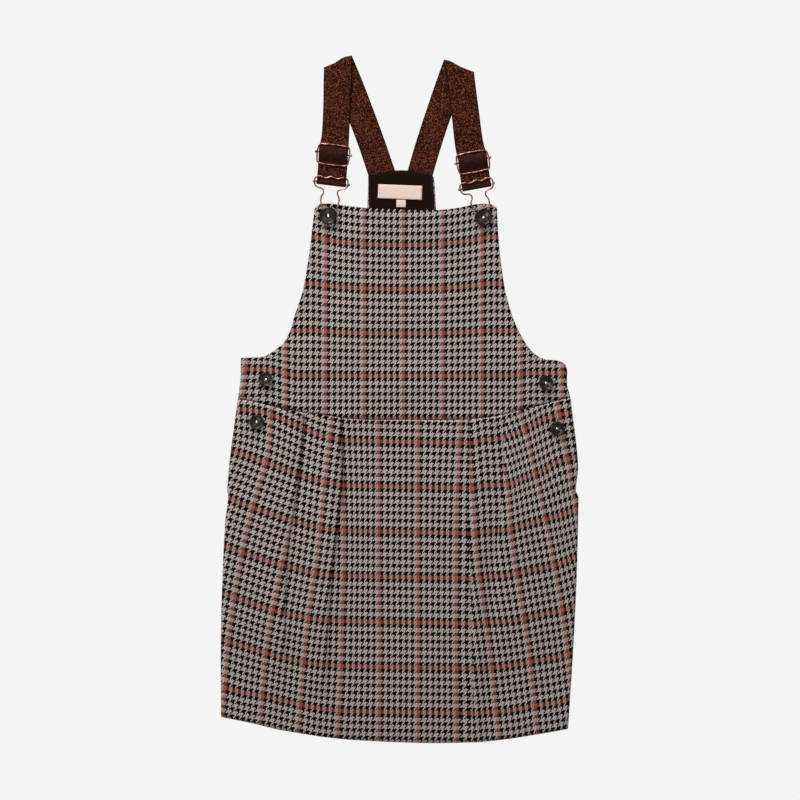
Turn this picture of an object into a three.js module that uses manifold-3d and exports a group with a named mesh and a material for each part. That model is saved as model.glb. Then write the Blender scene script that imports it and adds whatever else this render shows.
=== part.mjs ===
import * as THREE from 'three';
import { mergeVertices } from 'three/addons/utils/BufferGeometryUtils.js';
import Module from 'manifold-3d';

// A child's pinafore dress, laid flat on its back with its front up. Millimetres: +X is to the
// right of the picture, +Y towards the shoulders and +Z up from the surface. The origin is on
// the surface, under the middle of the outline.

const wasm = await Module();
wasm.setup();

// Thicknesses, and the gap that parts one piece from the next.
const cloth = 1.3;
const lining = 1.0;
const elastic = 1.5;
const gap = 0.3;
const seamGap = 0.5;

// Heights of the layers. The back panels lie on the surface and the front panels on them.
const frontUnder = cloth + gap;
const skirtMiddle = frontUnder + cloth / 2;
const facingUnder = cloth + gap;
const labelUnder = facingUnder + lining + gap;
const bibUnderOverFacing = facingUnder + lining + gap;

// The buckles: wire thickness, the height of the slider's wire, and the clip's wire and bar.
const wire = 1.8;
const sliderHeight = 4.5;
const clipHeight = 4.8;
const clipHeightAtButton = 2.8;
const clipBarHeight = 2.7;

// A table with named columns: its rows become objects.
function named(columns, rows) {
  const names = columns.split(' ');
  return rows.map((row) => Object.fromEntries(names.map((name, i) => [name, row[i]])));
}

// The outline of the bodice, each edge from left to right or from top to bottom.
const bibTop = named('x y', [
  [-81.0, 181.0], [-79.4, 183.8], [-76.0, 185.8], [-70.1, 186.4], [-53.0, 184.8],
  [-28.3, 181.4], [0.0, 180.3], [38.2, 180.0], [55.0, 182.2], [72.4, 185.7],
  [83.0, 186.1], [89.5, 184.9], [92.6, 181.5],
]);
const leftArmhole = named('x y', [
  [-81.0, 181.0], [-83.4, 162.0], [-87.2, 131.6], [-92.9, 101.2], [-100.5, 78.4],
  [-105.2, 63.2], [-110.5, 53.5], [-118.5, 47.0], [-129.0, 40.8], [-136.0, 39.6],
]);
const leftSideTop = named('x y', [[-136.0, 39.6], [-150.8, 39.4]]);
const leftBodiceSide = named('x y', [[-150.8, 39.4], [-151.4, 18.0], [-153.7, 0.9]]);
const rightArmhole = named('x y', [
  [92.6, 181.5], [93.4, 162.0], [96.2, 131.6], [100.9, 101.2], [107.6, 78.4],
  [114.2, 63.2], [122.8, 48.6], [132.0, 41.0], [141.0, 38.4],
]);
const rightSideTop = named('x y', [[141.0, 38.4], [151.3, 36.8], [157.3, 33.6], [159.2, 27.0]]);
const rightBodiceSide = named('x y', [[159.2, 27.0], [158.9, 14.7], [162.2, 1.9]]);

// The waist seam and the hem, from left to right.
const waistSeam = named('x y', [
  [-153.7, 0.9], [-132.8, -3.3], [-113.8, -8.1], [-91.0, -12.3], [-69.1, -15.2],
  [-52.0, -17.6], [-37.8, -18.8], [0.0, -19.0], [63.9, -18.7], [78.1, -17.6],
  [100.0, -13.8], [119.9, -8.5], [131.3, -6.2], [147.5, -1.4], [162.2, 1.9],
]);
const hem = named('x y', [
  [-169.8, -301.6], [-141.3, -307.3], [-112.8, -314.0], [-84.3, -318.7], [-55.8, -322.5],
  [-27.3, -324.4], [1.2, -325.7], [44.0, -326.3], [86.7, -324.4], [115.2, -320.6],
  [143.7, -315.9], [159.8, -313.0],
]);

// Half the width of the back, from the yoke down to the tops of the sides, about its own middle.
const backMiddle = 1.2;
const sideTopHeight = 41;
const backHalfWidths = named('y half', [
  [212.0, 30.6], [207.0, 32.2], [184.8, 33.3], [161.0, 35.2], [132.5, 39.0], [104.0, 43.7],
  [77.4, 50.4], [60.0, 60.0], [50.0, 74.0], [44.0, 96.0], [41.0, 122.0],
]);
const yokeTop = named('x y', [[-29.4, 212.0], [-4.2, 217.6], [7.8, 217.6], [31.8, 212.0]]);

// The skirt's sides and its four pleats at five levels, from the waist seam (0) to the hem (1).
// A pleat's line is the fold that shows. Its tuck is how far the cloth runs back under that
// fold, and below zero the fold has opened into a slope of that width.
const skirtLevels = named(
  'level leftSide outerLeft outerLeftTuck innerLeft innerLeftTuck '
  + 'innerRight innerRightTuck outerRight outerRightTuck rightSide',
  [
    [0.00, -153.7, -91.0, 9.5, -55.8, 15.2, 66.7, 14.3, 100.0, 13.8, 162.2],
    [0.20, -161.7, -95.7, 6.6, -54.9, 12.4, 66.3, 12.2, 98.6, 3.3, 169.3],
    [0.40, -166.0, -105.2, 2.8, -61.5, 5.7, 66.4, 10.2, 95.2, -3.8, 169.2],
    [0.74, -169.8, -110.9, -3.8, -71.0, -2.8, 69.6, 2.8, 95.2, -7.6, 165.1],
    [1.00, -169.8, -113.8, -7.6, -73.9, -7.6, 72.4, -5.7, 95.2, -9.5, 159.8],
  ],
);
const pleatStack = 2 * (cloth + gap);
const openPleatHeight = 0.6;
const openPleatTuck = 7.6;
const skirtLoft = 1.2;

// The straps, from the yoke up over the shoulder fold and down the front to the buckle. a is the
// left edge, b the right edge and z the middle of the elastic. A turn swings the strap over about
// its own line, round a centre at the height given.
const strapHalfWidth = 13.2;
const strapColumns = 'ax ay bx by z turn';
const strapRoutes = {
  left: named(strapColumns, [
    [-29.2, 212.3, -4.1, 218.0, 0.75, null],
    [-40.5, 241.3, -14.6, 244.8, 0.75, null],
    [-52.2, 271.4, -26.4, 276.2, 0.75, null],
    [-64.0, 301.0, -37.6, 305.6, 0.75, null],
    [-71.6, 314.3, -47.0, 324.7, 0.75, 1.65],
    [-72.6, 303.0, -46.3, 311.0, 2.55, null],
    [-73.0, 276.0, -47.6, 276.0, 2.55, null],
    [-74.2, 250.0, -48.4, 247.5, 2.55, null],
  ]),
  right: named(strapColumns, [
    [7.8, 218.0, 31.9, 213.3, 0.75, null],
    [17.2, 246.0, 41.3, 241.6, 0.75, null],
    [27.4, 276.6, 51.6, 272.4, 0.75, null],
    [36.5, 304.0, 61.6, 299.4, 0.75, null],
    [42.6, 320.4, 69.8, 310.1, 0.75, 1.65],
    [45.2, 305.0, 71.4, 297.0, 2.55, null],
    [48.0, 279.0, 74.2, 275.0, 2.55, null],
    [52.6, 240.0, 78.8, 244.4, 2.55, null],
  ]),
};

// The buckles: the middle of the slider's bar and of the clip's bar, how far both are turned,
// and how far the clip's wire leans and reaches towards its button.
const buckles = {
  left: { x: -62.9, y: 233.5, clipX: -65.0, clipY: 205.6, turn: -7, lean: -4.7, reach: 31.4 },
  right: { x: 69.3, y: 226.7, clipX: 73.0, clipY: 202.3, turn: 10.3, lean: 12.4, reach: 30.1 },
};

// How the strap weaves through the slider, under its ends and over its bar, and then round the
// clip's bar and back up behind. z is the middle of the elastic.
const throughSlider = named('below z', [
  [-6.2, 2.5], [-2.4, 6.45], [2.2, 6.45], [8.6, 2.5],
]);
const roundClip = named('above z turn', [
  [3.6, 2.5, null], [0.0, 4.65, clipBarHeight], [3.2, 0.75, null],
]);
const endBelowSlider = 1.5;

const sliderHalfWidth = 14.8;
const sliderAbove = 7.7;
const sliderBelow = 10.5;
const sliderCorner = 2.6;
const barHalfLength = 16.6;
const knob = 2.9;

// Half of the clip's wire, from the middle of its waved top to the loop round the button.
const clipWire = named('across along drop', [
  [0.0, 5.8, 0], [5.6, 4.2, 0], [11.4, 5.6, 0], [15.2, 3.8, 0], [15.9, 0.0, 0],
  [14.2, -4.2, 0], [8.4, -6.2, 0], [6.6, -8.6, 0.1], [8.6, -14.6, 0.5], [8.1, -20.0, 0.9],
  [5.6, -25.6, 1],
]);
const shankLoopRadius = 4.0;

// The buttons: where they are and how wide. The bib's carry the clips.
const bibButtons = named('side x y radius', [
  ['left', -67.7, 174.3, 8.35],
  ['right', 79.5, 172.9, 8.35],
]);
const bodiceButtons = named('side x y radius', [
  ['left', -127.2, 19.0, 6.9],
  ['right', 138.9, 15.8, 6.9],
]);
const skirtButtons = named('side x y radius level', [
  ['left', -135.6, -21.4, 7.1, 0.06],
  ['right', 149.2, -27.5, 6.9, 0.087],
]);

// The labels sewn to the facing.
const mainLabel = { x: 0.6, y: 197.2, width: 42.8, height: 15.2, turn: -1.3 };
const sizeLabel = { x: 1.4, y: 185.4, width: 9.5, height: 7.0, turn: 0 };

const finishes = {
  cloth: new THREE.MeshStandardMaterial({ color: 0x7d716b, roughness: 0.95, metalness: 0 }),
  backCloth: new THREE.MeshStandardMaterial({ color: 0x6c625d, roughness: 0.95, metalness: 0 }),
  facing: new THREE.MeshStandardMaterial({ color: 0x14110f, roughness: 0.9, metalness: 0 }),
  label: new THREE.MeshStandardMaterial({ color: 0xeee6dc, roughness: 0.7, metalness: 0 }),
  elastic: new THREE.MeshStandardMaterial({ color: 0x4a2413, roughness: 0.6, metalness: 0.3 }),
  copper: new THREE.MeshStandardMaterial({ color: 0xc98f74, roughness: 0.3, metalness: 1 }),
  button: new THREE.MeshStandardMaterial({ color: 0x2b2422, roughness: 0.25, metalness: 0 }),
};

const degrees = THREE.MathUtils.degToRad;
const smoothstep = THREE.MathUtils.smoothstep;
const lerp = THREE.MathUtils.lerp;

// A smooth curve through one column of a table, as a function of another.
function follow(table, along, value) {
  const rows = [...table].sort((p, q) => p[along] - q[along]);
  const places = rows.map((row) => row[along]);
  const values = rows.map((row) => row[value]);
  const curve = new THREE.CubicInterpolant(places, values, 1);
  return (place) => curve.evaluate(place)[0];
}

// The same with straight lines between the rows.
function followStraight(table, along, value) {
  const rows = [...table].sort((p, q) => p[along] - q[along]);
  const places = rows.map((row) => row[along]);
  const values = rows.map((row) => row[value]);
  const line = new THREE.LinearInterpolant(places, values, 1);
  return (place) => line.evaluate(place)[0];
}

// A closed outline from edges that meet in corners. Each edge is smooth in itself.
function outline(...edges) {
  const shape = new THREE.Shape();
  shape.moveTo(edges[0][0].x, edges[0][0].y);
  for (const edge of edges) {
    const [, ...rest] = edge;
    shape.splineThru(rest.map((point) => new THREE.Vector2(point.x, point.y)));
  }
  return shape;
}

const backwards = (edge) => [...edge].reverse();

function flatPanel(shape, under, thickness, curveSegments = 2) {
  const settings = { depth: thickness, bevelEnabled: false, curveSegments };
  const panel = new THREE.ExtrudeGeometry(shape, settings);
  return panel.translate(0, 0, under);
}

// A closed wall from rows of cells, each with a point on its upper and on its under side. Rows
// run down the piece and cells across it.
function wall(rows) {
  const across = rows[0].length;
  const positions = rows.flat().flatMap((cell) => [...cell.upper, ...cell.under]);
  const upper = (r, c) => 2 * (r * across + c);
  const under = (r, c) => upper(r, c) + 1;
  const faces = [];
  const quad = (p, q, r, s) => faces.push(p, q, r, p, r, s);
  const lastRow = rows.length - 1;
  const lastCell = across - 1;
  for (let r = 0; r < lastRow; r += 1) {
    for (let c = 0; c < lastCell; c += 1) {
      quad(upper(r, c), upper(r + 1, c), upper(r + 1, c + 1), upper(r, c + 1));
      quad(under(r, c), under(r, c + 1), under(r + 1, c + 1), under(r + 1, c));
    }
    quad(upper(r, 0), under(r, 0), under(r + 1, 0), upper(r + 1, 0));
    quad(upper(r + 1, lastCell), under(r + 1, lastCell), under(r, lastCell), upper(r, lastCell));
  }
  for (let c = 0; c < lastCell; c += 1) {
    quad(upper(0, c + 1), under(0, c + 1), under(0, c), upper(0, c));
    quad(upper(lastRow, c), under(lastRow, c), under(lastRow, c + 1), upper(lastRow, c + 1));
  }
  const geometry = new THREE.BufferGeometry();
  geometry.setAttribute('position', new THREE.Float32BufferAttribute(positions, 3));
  geometry.setIndex(faces);
  return geometry;
}

function toSolid(geometry) {
  const bare = geometry.clone();
  bare.deleteAttribute('normal');
  bare.deleteAttribute('uv');
  const merged = mergeVertices(bare, 1e-4);
  const vertProperties = new Float32Array(merged.attributes.position.array);
  const triVerts = new Uint32Array(merged.index.array);
  return new wasm.Manifold(new wasm.Mesh({ numProp: 3, vertProperties, triVerts }));
}

function toGeometry(solid) {
  const mesh = solid.getMesh();
  const geometry = new THREE.BufferGeometry();
  geometry.setAttribute('position', new THREE.BufferAttribute(mesh.vertProperties, 3));
  geometry.setIndex(new THREE.BufferAttribute(mesh.triVerts, 1));
  return geometry;
}

const backHalfAt = followStraight(backHalfWidths, 'y', 'half');
const seamAt = follow(waistSeam, 'x', 'y');
const hemAt = follow(hem, 'x', 'y');

// The waist seam as a close row of points, moved up for the bodice and down for the skirt.
function seamEdge(dy) {
  const [start, end, steps] = [waistSeam[0].x, waistSeam.at(-1).x, 40];
  const places = Array.from({ length: steps + 1 }, (_, i) => lerp(start, end, i / steps));
  return places.map((x) => ({ x, y: seamAt(x) + dy }));
}

// The back of the bodice: a narrow yoke that widens into the sides.
function backBodiceShape() {
  const left = backHalfWidths.map((row) => ({ x: backMiddle - row.half, y: row.y }));
  const right = backHalfWidths.map((row) => ({ x: backMiddle + row.half, y: row.y }));
  left.push(leftSideTop[1]);
  right.push(rightSideTop[1], rightSideTop[2], rightSideTop[3]);
  return outline(
    backwards(yokeTop), left, leftBodiceSide, seamEdge(seamGap / 2), backwards(rightBodiceSide),
    backwards(right),
  );
}

// The front of the bodice is a wavy wall cut out by a tall block of its outline.
const cutterHeight = 40;

// The front of the bodice lies over the back, and sinks to the surface past the back's edge. It
// rises over the facing at the yoke, and over the pleats gathered in the waist seam.
function bodiceUnder(x, y) {
  const nearby = 2;
  const spread = (backHalfAt(y - nearby) - backHalfAt(y + nearby)) / (2 * nearby);
  const pastArmhole = (Math.abs(x - backMiddle) - backHalfAt(y)) / Math.hypot(1, spread);
  const pastBack = Math.min(pastArmhole, y - sideTopHeight);
  const overBack = frontUnder * (1 - smoothstep(pastBack, 7, 22));
  const overYoke = 1 - smoothstep(Math.abs(x - backMiddle), 34, 46);
  const overFacing = overYoke * smoothstep(y, 150, 164) * (bibUnderOverFacing - frontUnder);
  const waist = skirtLevels[0];
  const pleatLines = [waist.outerLeft, waist.innerLeft, waist.innerRight, waist.outerRight];
  const nearSeam = 1 - smoothstep(y - seamAt(x), 0, 16);
  const overPleats = Math.max(...pleatLines.map((line) => Math.exp(-(((x - line) / 13) ** 2))));
  return overBack + overFacing + (pleatStack / 2) * nearSeam * overPleats;
}

function bodiceFront() {
  const columns = 30;
  const rowCount = 22;
  const [left, right, top, bottom] = [-170, 175, 190, -24];
  const rows = [];
  for (let r = 0; r <= rowCount; r += 1) {
    const y = lerp(top, bottom, r / rowCount);
    const row = [];
    for (let c = 0; c <= columns; c += 1) {
      const x = lerp(left, right, c / columns);
      const z = bodiceUnder(x, y);
      row.push({ upper: [x, y, z + cloth], under: [x, y, z] });
    }
    rows.push(row);
  }
  const shape = outline(
    backwards(bibTop), leftArmhole, leftSideTop, leftBodiceSide, seamEdge(seamGap / 2),
    backwards(rightBodiceSide), backwards(rightSideTop), backwards(rightArmhole),
  );
  const cutter = flatPanel(shape, -cutterHeight / 2, cutterHeight);
  return toGeometry(toSolid(wall(rows)).intersect(toSolid(cutter)));
}

// How high a pleat stands: three layers while it is tucked, and a low slope once it is open.
function pleatHeight(tuck) {
  return lerp(pleatStack, openPleatHeight, smoothstep(-tuck, cloth, openPleatTuck));
}

const levelColumns = Object.keys(skirtLevels[0]).filter((name) => name !== 'level');
const skirtAt = Object.fromEntries(
  levelColumns.map((name) => [name, follow(skirtLevels, 'level', name)]),
);

// A pleat from its outer side inwards: the layer on top, the fold, the tuck and the cloth below.
// outward is -1 on the left half of the skirt and 1 on the right half. The layers stay level for
// a short rest past each fold.
const rest = 2;

function pleatPoints(line, tuck, outward) {
  const height = pleatHeight(tuck);
  const back = line + outward * tuck;
  const outerEnd = outward * Math.max(outward * line, outward * back) + outward * rest;
  const innerEnd = outward * Math.min(outward * line, outward * back) - outward * rest;
  const lowEnd = tuck > 0 ? line - outward * rest : innerEnd;
  const topStart = tuck > 0 ? outerEnd : line + outward * rest;
  return [
    { x: topStart, z: height },
    { x: line, z: height },
    { x: line, z: height / 2 },
    { x: back, z: height / 2 },
    { x: back, z: 0 },
    { x: lowEnd, z: 0 },
  ];
}

// One section across the skirt, from the left side to the right side.
function skirtSection(level) {
  const at = (name) => skirtAt[name](level);
  const outerLeft = pleatPoints(at('outerLeft'), at('outerLeftTuck'), -1);
  const innerLeft = pleatPoints(at('innerLeft'), at('innerLeftTuck'), -1);
  const innerRight = pleatPoints(at('innerRight'), at('innerRightTuck'), 1).reverse();
  const outerRight = pleatPoints(at('outerRight'), at('outerRightTuck'), 1).reverse();
  const middleStart = innerLeft.at(-1).x;
  const middleEnd = innerRight[0].x;
  const middle = [0.2, 0.4, 0.6, 0.8].map((t) => ({ x: lerp(middleStart, middleEnd, t), z: 0 }));
  const slope = (side, top) => [0, 0.25, 0.5, 0.75].map((t) => (
    { x: lerp(side, top.x, t), z: top.z * t }
  ));
  const points = [
    ...slope(at('leftSide'), outerLeft[0]), ...outerLeft, ...innerLeft, ...middle,
    ...innerRight, ...outerRight, ...slope(at('rightSide'), outerRight.at(-1)).reverse(),
  ];
  const halfWidth = (at('rightSide') - at('leftSide')) / 2;
  const centre = (at('rightSide') + at('leftSide')) / 2;
  return points.map(({ x, z }) => {
    const loft = skirtLoft * Math.sin(Math.PI * level) * (1 - ((x - centre) / halfWidth) ** 2);
    return { x, z: z + skirtMiddle + Math.max(0, loft) };
  });
}

// Both sides of a line drawn across the cloth, mitred at its corners.
function bothSides(line, thickness) {
  const normals = [];
  for (let i = 0; i < line.length - 1; i += 1) {
    const run = new THREE.Vector2(line[i + 1].x - line[i].x, line[i + 1].z - line[i].z);
    run.normalize();
    normals.push(new THREE.Vector2(-run.y, run.x));
  }
  return line.map((point, i) => {
    const before = normals[Math.max(0, i - 1)];
    const after = normals[Math.min(normals.length - 1, i)];
    const mitre = before.clone().add(after).divideScalar(1 + before.dot(after));
    mitre.multiplyScalar(thickness / 2);
    return {
      upper: { x: point.x + mitre.x, z: point.z + mitre.y },
      under: { x: point.x - mitre.x, z: point.z - mitre.y },
    };
  });
}

function skirtFront() {
  const rowCount = 24;
  const rows = [];
  for (let r = 0; r <= rowCount; r += 1) {
    const level = r / rowCount;
    const line = skirtSection(level);
    const sides = bothSides(line, cloth);
    rows.push(sides.map(({ upper, under }) => {
      const down = (x) => lerp(seamAt(x) - seamGap / 2, hemAt(x), level);
      return {
        upper: [upper.x, down(upper.x), upper.z],
        under: [under.x, down(under.x), under.z],
      };
    }));
  }
  return wall(rows);
}

function skirtBackShape() {
  const heightAt = (edge, x, level) => lerp(edge(x) - seamGap / 2, hemAt(x), level);
  const side = (name) => skirtLevels.map((row) => ({
    x: row[name], y: heightAt(seamAt, row[name], row.level),
  }));
  const left = side('leftSide');
  const right = side('rightSide');
  return outline(left, hem, backwards(right), backwards(seamEdge(-seamGap / 2)));
}

// The height of the skirt's upper side at a point near one of its sides.
function skirtTop(x, level) {
  const line = skirtSection(level);
  const near = line.findIndex((point, i) => point.x <= x && line[i + 1].x >= x);
  const [p, q] = [line[near], line[near + 1]];
  return lerp(p.z, q.z, (x - p.x) / (q.x - p.x)) + cloth / 2;
}

// The facing inside the yoke stops short of its edges, so a line of the outer cloth shows.
function facingShape() {
  const inset = 2.4;
  const sides = named('y half', [[204.0, 30.4], [184.8, 31.0], [169.0, 31.6]]);
  const left = sides.map((row) => ({ x: backMiddle - row.half, y: row.y }));
  const right = sides.map((row) => ({ x: backMiddle + row.half, y: row.y }));
  const top = [
    left[0], { x: -28.0, y: 208.6 }, { x: -22.0, y: 211.4 },
    { x: -3.0, y: 217.6 - inset }, { x: 6.0, y: 217.6 - inset },
    { x: 24.6, y: 211.4 }, { x: 30.4, y: 208.6 }, right[0],
  ];
  const bottom = [left.at(-1), right.at(-1)];
  return outline(backwards(top), left, bottom, backwards(right));
}

// The strap's route through one buckle, in the same columns as the table of routes.
function buckleRoute({ x, y, clipX, clipY, turn }) {
  const distance = Math.hypot(clipX - x, clipY - y);
  const acrossX = strapHalfWidth * Math.cos(degrees(turn));
  const acrossY = strapHalfWidth * Math.sin(degrees(turn));
  const row = (below, z, swing) => {
    const midX = lerp(x, clipX, below / distance);
    const midY = lerp(y, clipY, below / distance);
    return {
      ax: midX - acrossX, ay: midY - acrossY, bx: midX + acrossX, by: midY + acrossY, z, turn: swing,
    };
  };
  return [
    ...throughSlider.map(({ below, z }) => row(below, z, null)),
    ...roundClip.map(({ above, z, turn: swing }) => row(distance - above, z, swing)),
    row(endBelowSlider, elastic / 2, null),
  ];
}

// A strap: rows of two cells along its route. n points out of the fold, so the upper side of a
// row is its outer side.
function strap(route) {
  const rows = [];
  const stations = [];
  for (const { ax, ay, bx, by, z, turn } of route) {
    const a = new THREE.Vector3(ax, ay, z);
    const b = new THREE.Vector3(bx, by, z);
    if (turn === null) {
      stations.push({ a, b });
    } else {
      const across = b.clone().sub(a).normalize();
      const last = stations.at(-1);
      const ahead = new THREE.Vector3(-across.y, across.x, 0);
      const going = a.clone().add(b).sub(last.a).sub(last.b);
      if (ahead.dot(going) < 0) ahead.negate();
      const steps = 6;
      for (let i = 0; i <= steps; i += 1) {
        const angle = (Math.PI * i) / steps;
        const out = ahead.clone().multiplyScalar(Math.abs(turn - z) * Math.sin(angle));
        out.z = turn + (z - turn) * Math.cos(angle) - z;
        stations.push({ a: a.clone().add(out), b: b.clone().add(out) });
      }
    }
  }
  stations.forEach(({ a, b }, i) => {
    const before = stations[Math.max(0, i - 1)];
    const after = stations[Math.min(stations.length - 1, i + 1)];
    const along = after.a.clone().add(after.b).sub(before.a).sub(before.b);
    const across = b.clone().sub(a);
    const n = along.cross(across).normalize().multiplyScalar(elastic / 2);
    rows.push([a, b].map((edge) => ({
      upper: edge.clone().add(n).toArray(),
      under: edge.clone().sub(n).toArray(),
    })));
  });
  return wall(rows);
}

const closedWire = (points, segments) => {
  const path = new THREE.CatmullRomCurve3(points, true, 'centripetal');
  return new THREE.TubeGeometry(path, segments, wire / 2, 6, true);
};

// A bar with a round knob at each end, along X.
function knobbedBar() {
  const r = wire / 2;
  const profile = [
    [0, -barHalfLength - knob / 2], [knob * 0.36, -barHalfLength - knob * 0.4],
    [knob / 2, -barHalfLength], [knob * 0.36, -barHalfLength + knob * 0.4],
    [r, -barHalfLength + knob * 0.5],
  ];
  const ends = profile.map(([radius, along]) => new THREE.Vector2(radius, along));
  const mirrored = [...ends].reverse().map((point) => new THREE.Vector2(point.x, -point.y));
  const bar = new THREE.LatheGeometry([...ends, ...mirrored], 8);
  return bar.rotateZ(-Math.PI / 2);
}

// The slider: a rounded frame of wire with a knobbed bar fixed across it.
function slider() {
  const corners = [
    [-1, sliderAbove], [-1, -sliderBelow], [1, -sliderBelow], [1, sliderAbove],
  ];
  const points = corners.flatMap(([side, end], i) => {
    const x = side * sliderHalfWidth;
    const inX = side * (sliderHalfWidth - sliderCorner);
    const inY = end - Math.sign(end) * sliderCorner;
    const rounded = [[x, inY], [lerp(inX, x, 0.7), lerp(inY, end, 0.7)], [inX, end]];
    return i % 2 === 0 ? rounded.reverse() : rounded;
  });
  const loop = points.map(([x, y]) => new THREE.Vector3(x, y, 0));
  return toGeometry(toSolid(closedWire(loop, 36)).add(toSolid(knobbedBar())));
}

// The clip's wire. reach is how far below the clip's bar its button stands.
function clip(reach) {
  const drop = clipHeight - clipHeightAtButton;
  const half = clipWire.map((row) => new THREE.Vector3(row.across, row.along, -row.drop * drop));
  const loop = [50, 15, -25, -60].map((angle) => new THREE.Vector3(
    shankLoopRadius * Math.cos(degrees(angle)),
    -reach + shankLoopRadius * Math.sin(degrees(angle)),
    -drop,
  ));
  const right = [...half, ...loop];
  const bottom = new THREE.Vector3(0, -reach - shankLoopRadius, -drop);
  const left = right.slice(1).reverse().map((point) => new THREE.Vector3(-point.x, point.y, point.z));
  return closedWire([...right, bottom, ...left], 84);
}

// A button on a shank, turned from a profile of radius and height. It stands at z = 0.
function button(radius, neck, shankHeight) {
  const thickness = 2.6;
  const profile = [
    [0, 0], [neck, 0], [neck, shankHeight], [radius * 0.82, shankHeight],
    [radius, shankHeight + thickness * 0.35], [radius * 0.97, shankHeight + thickness * 0.8],
    [radius * 0.8, shankHeight + thickness], [radius * 0.62, shankHeight + thickness * 0.78],
    [0, shankHeight + thickness * 0.7],
  ];
  const points = profile.map(([across, up]) => new THREE.Vector2(across, up));
  return new THREE.LatheGeometry(points, 16).rotateX(Math.PI / 2);
}

function label({ width, height }) {
  const shape = new THREE.Shape();
  shape.moveTo(-width / 2, -height / 2);
  shape.lineTo(width / 2, -height / 2);
  shape.lineTo(width / 2, height / 2);
  shape.lineTo(-width / 2, height / 2);
  shape.closePath();
  return flatPanel(shape, 0, lining);
}

const dress = new THREE.Group();

function place(name, geometry, finish, { x = 0, y = 0, z = 0, turn = 0 } = {}) {
  const mesh = new THREE.Mesh(geometry, finishes[finish]);
  mesh.name = name;
  mesh.position.set(x, y, z);
  mesh.rotation.z = degrees(turn);
  dress.add(mesh);
}

place('bodice_back', flatPanel(backBodiceShape(), 0, cloth), 'backCloth');
place('skirt_back', flatPanel(skirtBackShape(), 0, cloth), 'backCloth');
place('yoke_facing', flatPanel(facingShape(), facingUnder, lining), 'facing');
place('label_main', label(mainLabel), 'label', { ...mainLabel, z: labelUnder });
place('label_size', label(sizeLabel), 'label', { ...sizeLabel, z: labelUnder });
place('bodice_front', bodiceFront(), 'cloth');
place('skirt_front', skirtFront(), 'cloth');

for (const side of ['left', 'right']) {
  const { x, y, turn, clipX, clipY, lean, reach } = buckles[side];
  place(`strap_${side}`, strap([...strapRoutes[side], ...buckleRoute(buckles[side])]), 'elastic');
  place(`slider_${side}`, slider(), 'copper', { x, y, z: sliderHeight, turn });
  place(`clip_bar_${side}`, knobbedBar(), 'copper', { x: clipX, y: clipY, z: clipBarHeight, turn });
  place(`clip_wire_${side}`, clip(reach), 'copper', { x: clipX, y: clipY, z: clipHeight, turn: lean });
}

for (const { side, x, y, radius } of bibButtons) {
  const z = bodiceUnder(x, y) + cloth + gap;
  place(`bib_button_${side}`, button(radius, 2.4, 2.5), 'button', { x, y, z });
}
for (const { side, x, y, radius } of bodiceButtons) {
  const z = bodiceUnder(x, y) + cloth + gap;
  place(`side_button_upper_${side}`, button(radius, 2.2, 1.0), 'button', { x, y, z });
}
for (const { side, x, y, radius, level } of skirtButtons) {
  const z = skirtTop(x, level) + gap;
  place(`side_button_lower_${side}`, button(radius, 2.2, 1.0), 'button', { x, y, z });
}

export default dress;
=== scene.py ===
# %% [markdown]
# # A child's houndstooth pinafore dress, laid flat
# A pinafore is a dress with a bib, shoulder straps and no sleeves. This one lies on its back with
# its front up. The solids of the dress come ready made, at their real size, and this script gives
# them their looks: cloth with a real weave, glittering elastic, copper wire and marbled buttons.
# The cells run from the largest pieces to the smallest, and each one prints what it made.

import math

import bmesh
import bpy
import numpy as np
from mathutils import Matrix, Vector


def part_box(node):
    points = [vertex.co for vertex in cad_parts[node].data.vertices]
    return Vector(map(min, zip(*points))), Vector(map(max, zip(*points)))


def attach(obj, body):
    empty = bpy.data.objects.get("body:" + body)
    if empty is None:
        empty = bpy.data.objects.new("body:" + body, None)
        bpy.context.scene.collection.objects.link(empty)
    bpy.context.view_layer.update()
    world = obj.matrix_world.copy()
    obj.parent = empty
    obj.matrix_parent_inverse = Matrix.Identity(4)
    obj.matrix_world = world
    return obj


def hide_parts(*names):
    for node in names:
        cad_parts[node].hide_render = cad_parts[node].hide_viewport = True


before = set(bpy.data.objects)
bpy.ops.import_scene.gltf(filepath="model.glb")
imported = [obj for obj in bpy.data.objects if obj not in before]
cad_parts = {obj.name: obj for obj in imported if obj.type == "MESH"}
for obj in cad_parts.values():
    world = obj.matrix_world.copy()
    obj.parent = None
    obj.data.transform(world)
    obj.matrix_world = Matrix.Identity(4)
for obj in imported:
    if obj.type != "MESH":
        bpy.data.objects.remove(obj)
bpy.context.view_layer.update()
MM = 0.001

# %% [markdown]
# ## The camera
# The picture is taken from straight above, so the camera hangs over the dress and looks down its
# own axis. A long lens from far away keeps the edges from leaning outwards. The distance follows
# from how much of the floor the picture takes in, which is a fact that can be checked.

# %% Hang the camera over the dress
PICTURE_WIDTH = 760.0
PICTURE_MIDDLE = (0.24, -0.48)
LENS = 70.0
SENSOR = 36.0
CLOTH_HEIGHT = 2.9

camera_data = bpy.data.cameras.new("camera")
camera_data.lens = LENS
camera_data.sensor_width = SENSOR
camera = bpy.data.objects.new("camera", camera_data)
camera_height = PICTURE_WIDTH * LENS / SENSOR + CLOTH_HEIGHT
camera.location = (PICTURE_MIDDLE[0] * MM, PICTURE_MIDDLE[1] * MM, camera_height * MM)
bpy.context.scene.collection.objects.link(camera)
bpy.context.scene.camera = camera
print("the camera hangs", round(camera_height), "mm above the floor")

# %% [markdown]
# ## Tables and smooth lines
# A dress is cut from curved lines. A maker draws them through a few measured points, and so does
# this script: each table holds the points of one line in millimetres, +X to the right of the
# picture and +Y towards the shoulders. `follow` draws the smooth curve through a table, and
# `smoothstep` is the soft ramp that many shapes below are made with.

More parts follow.
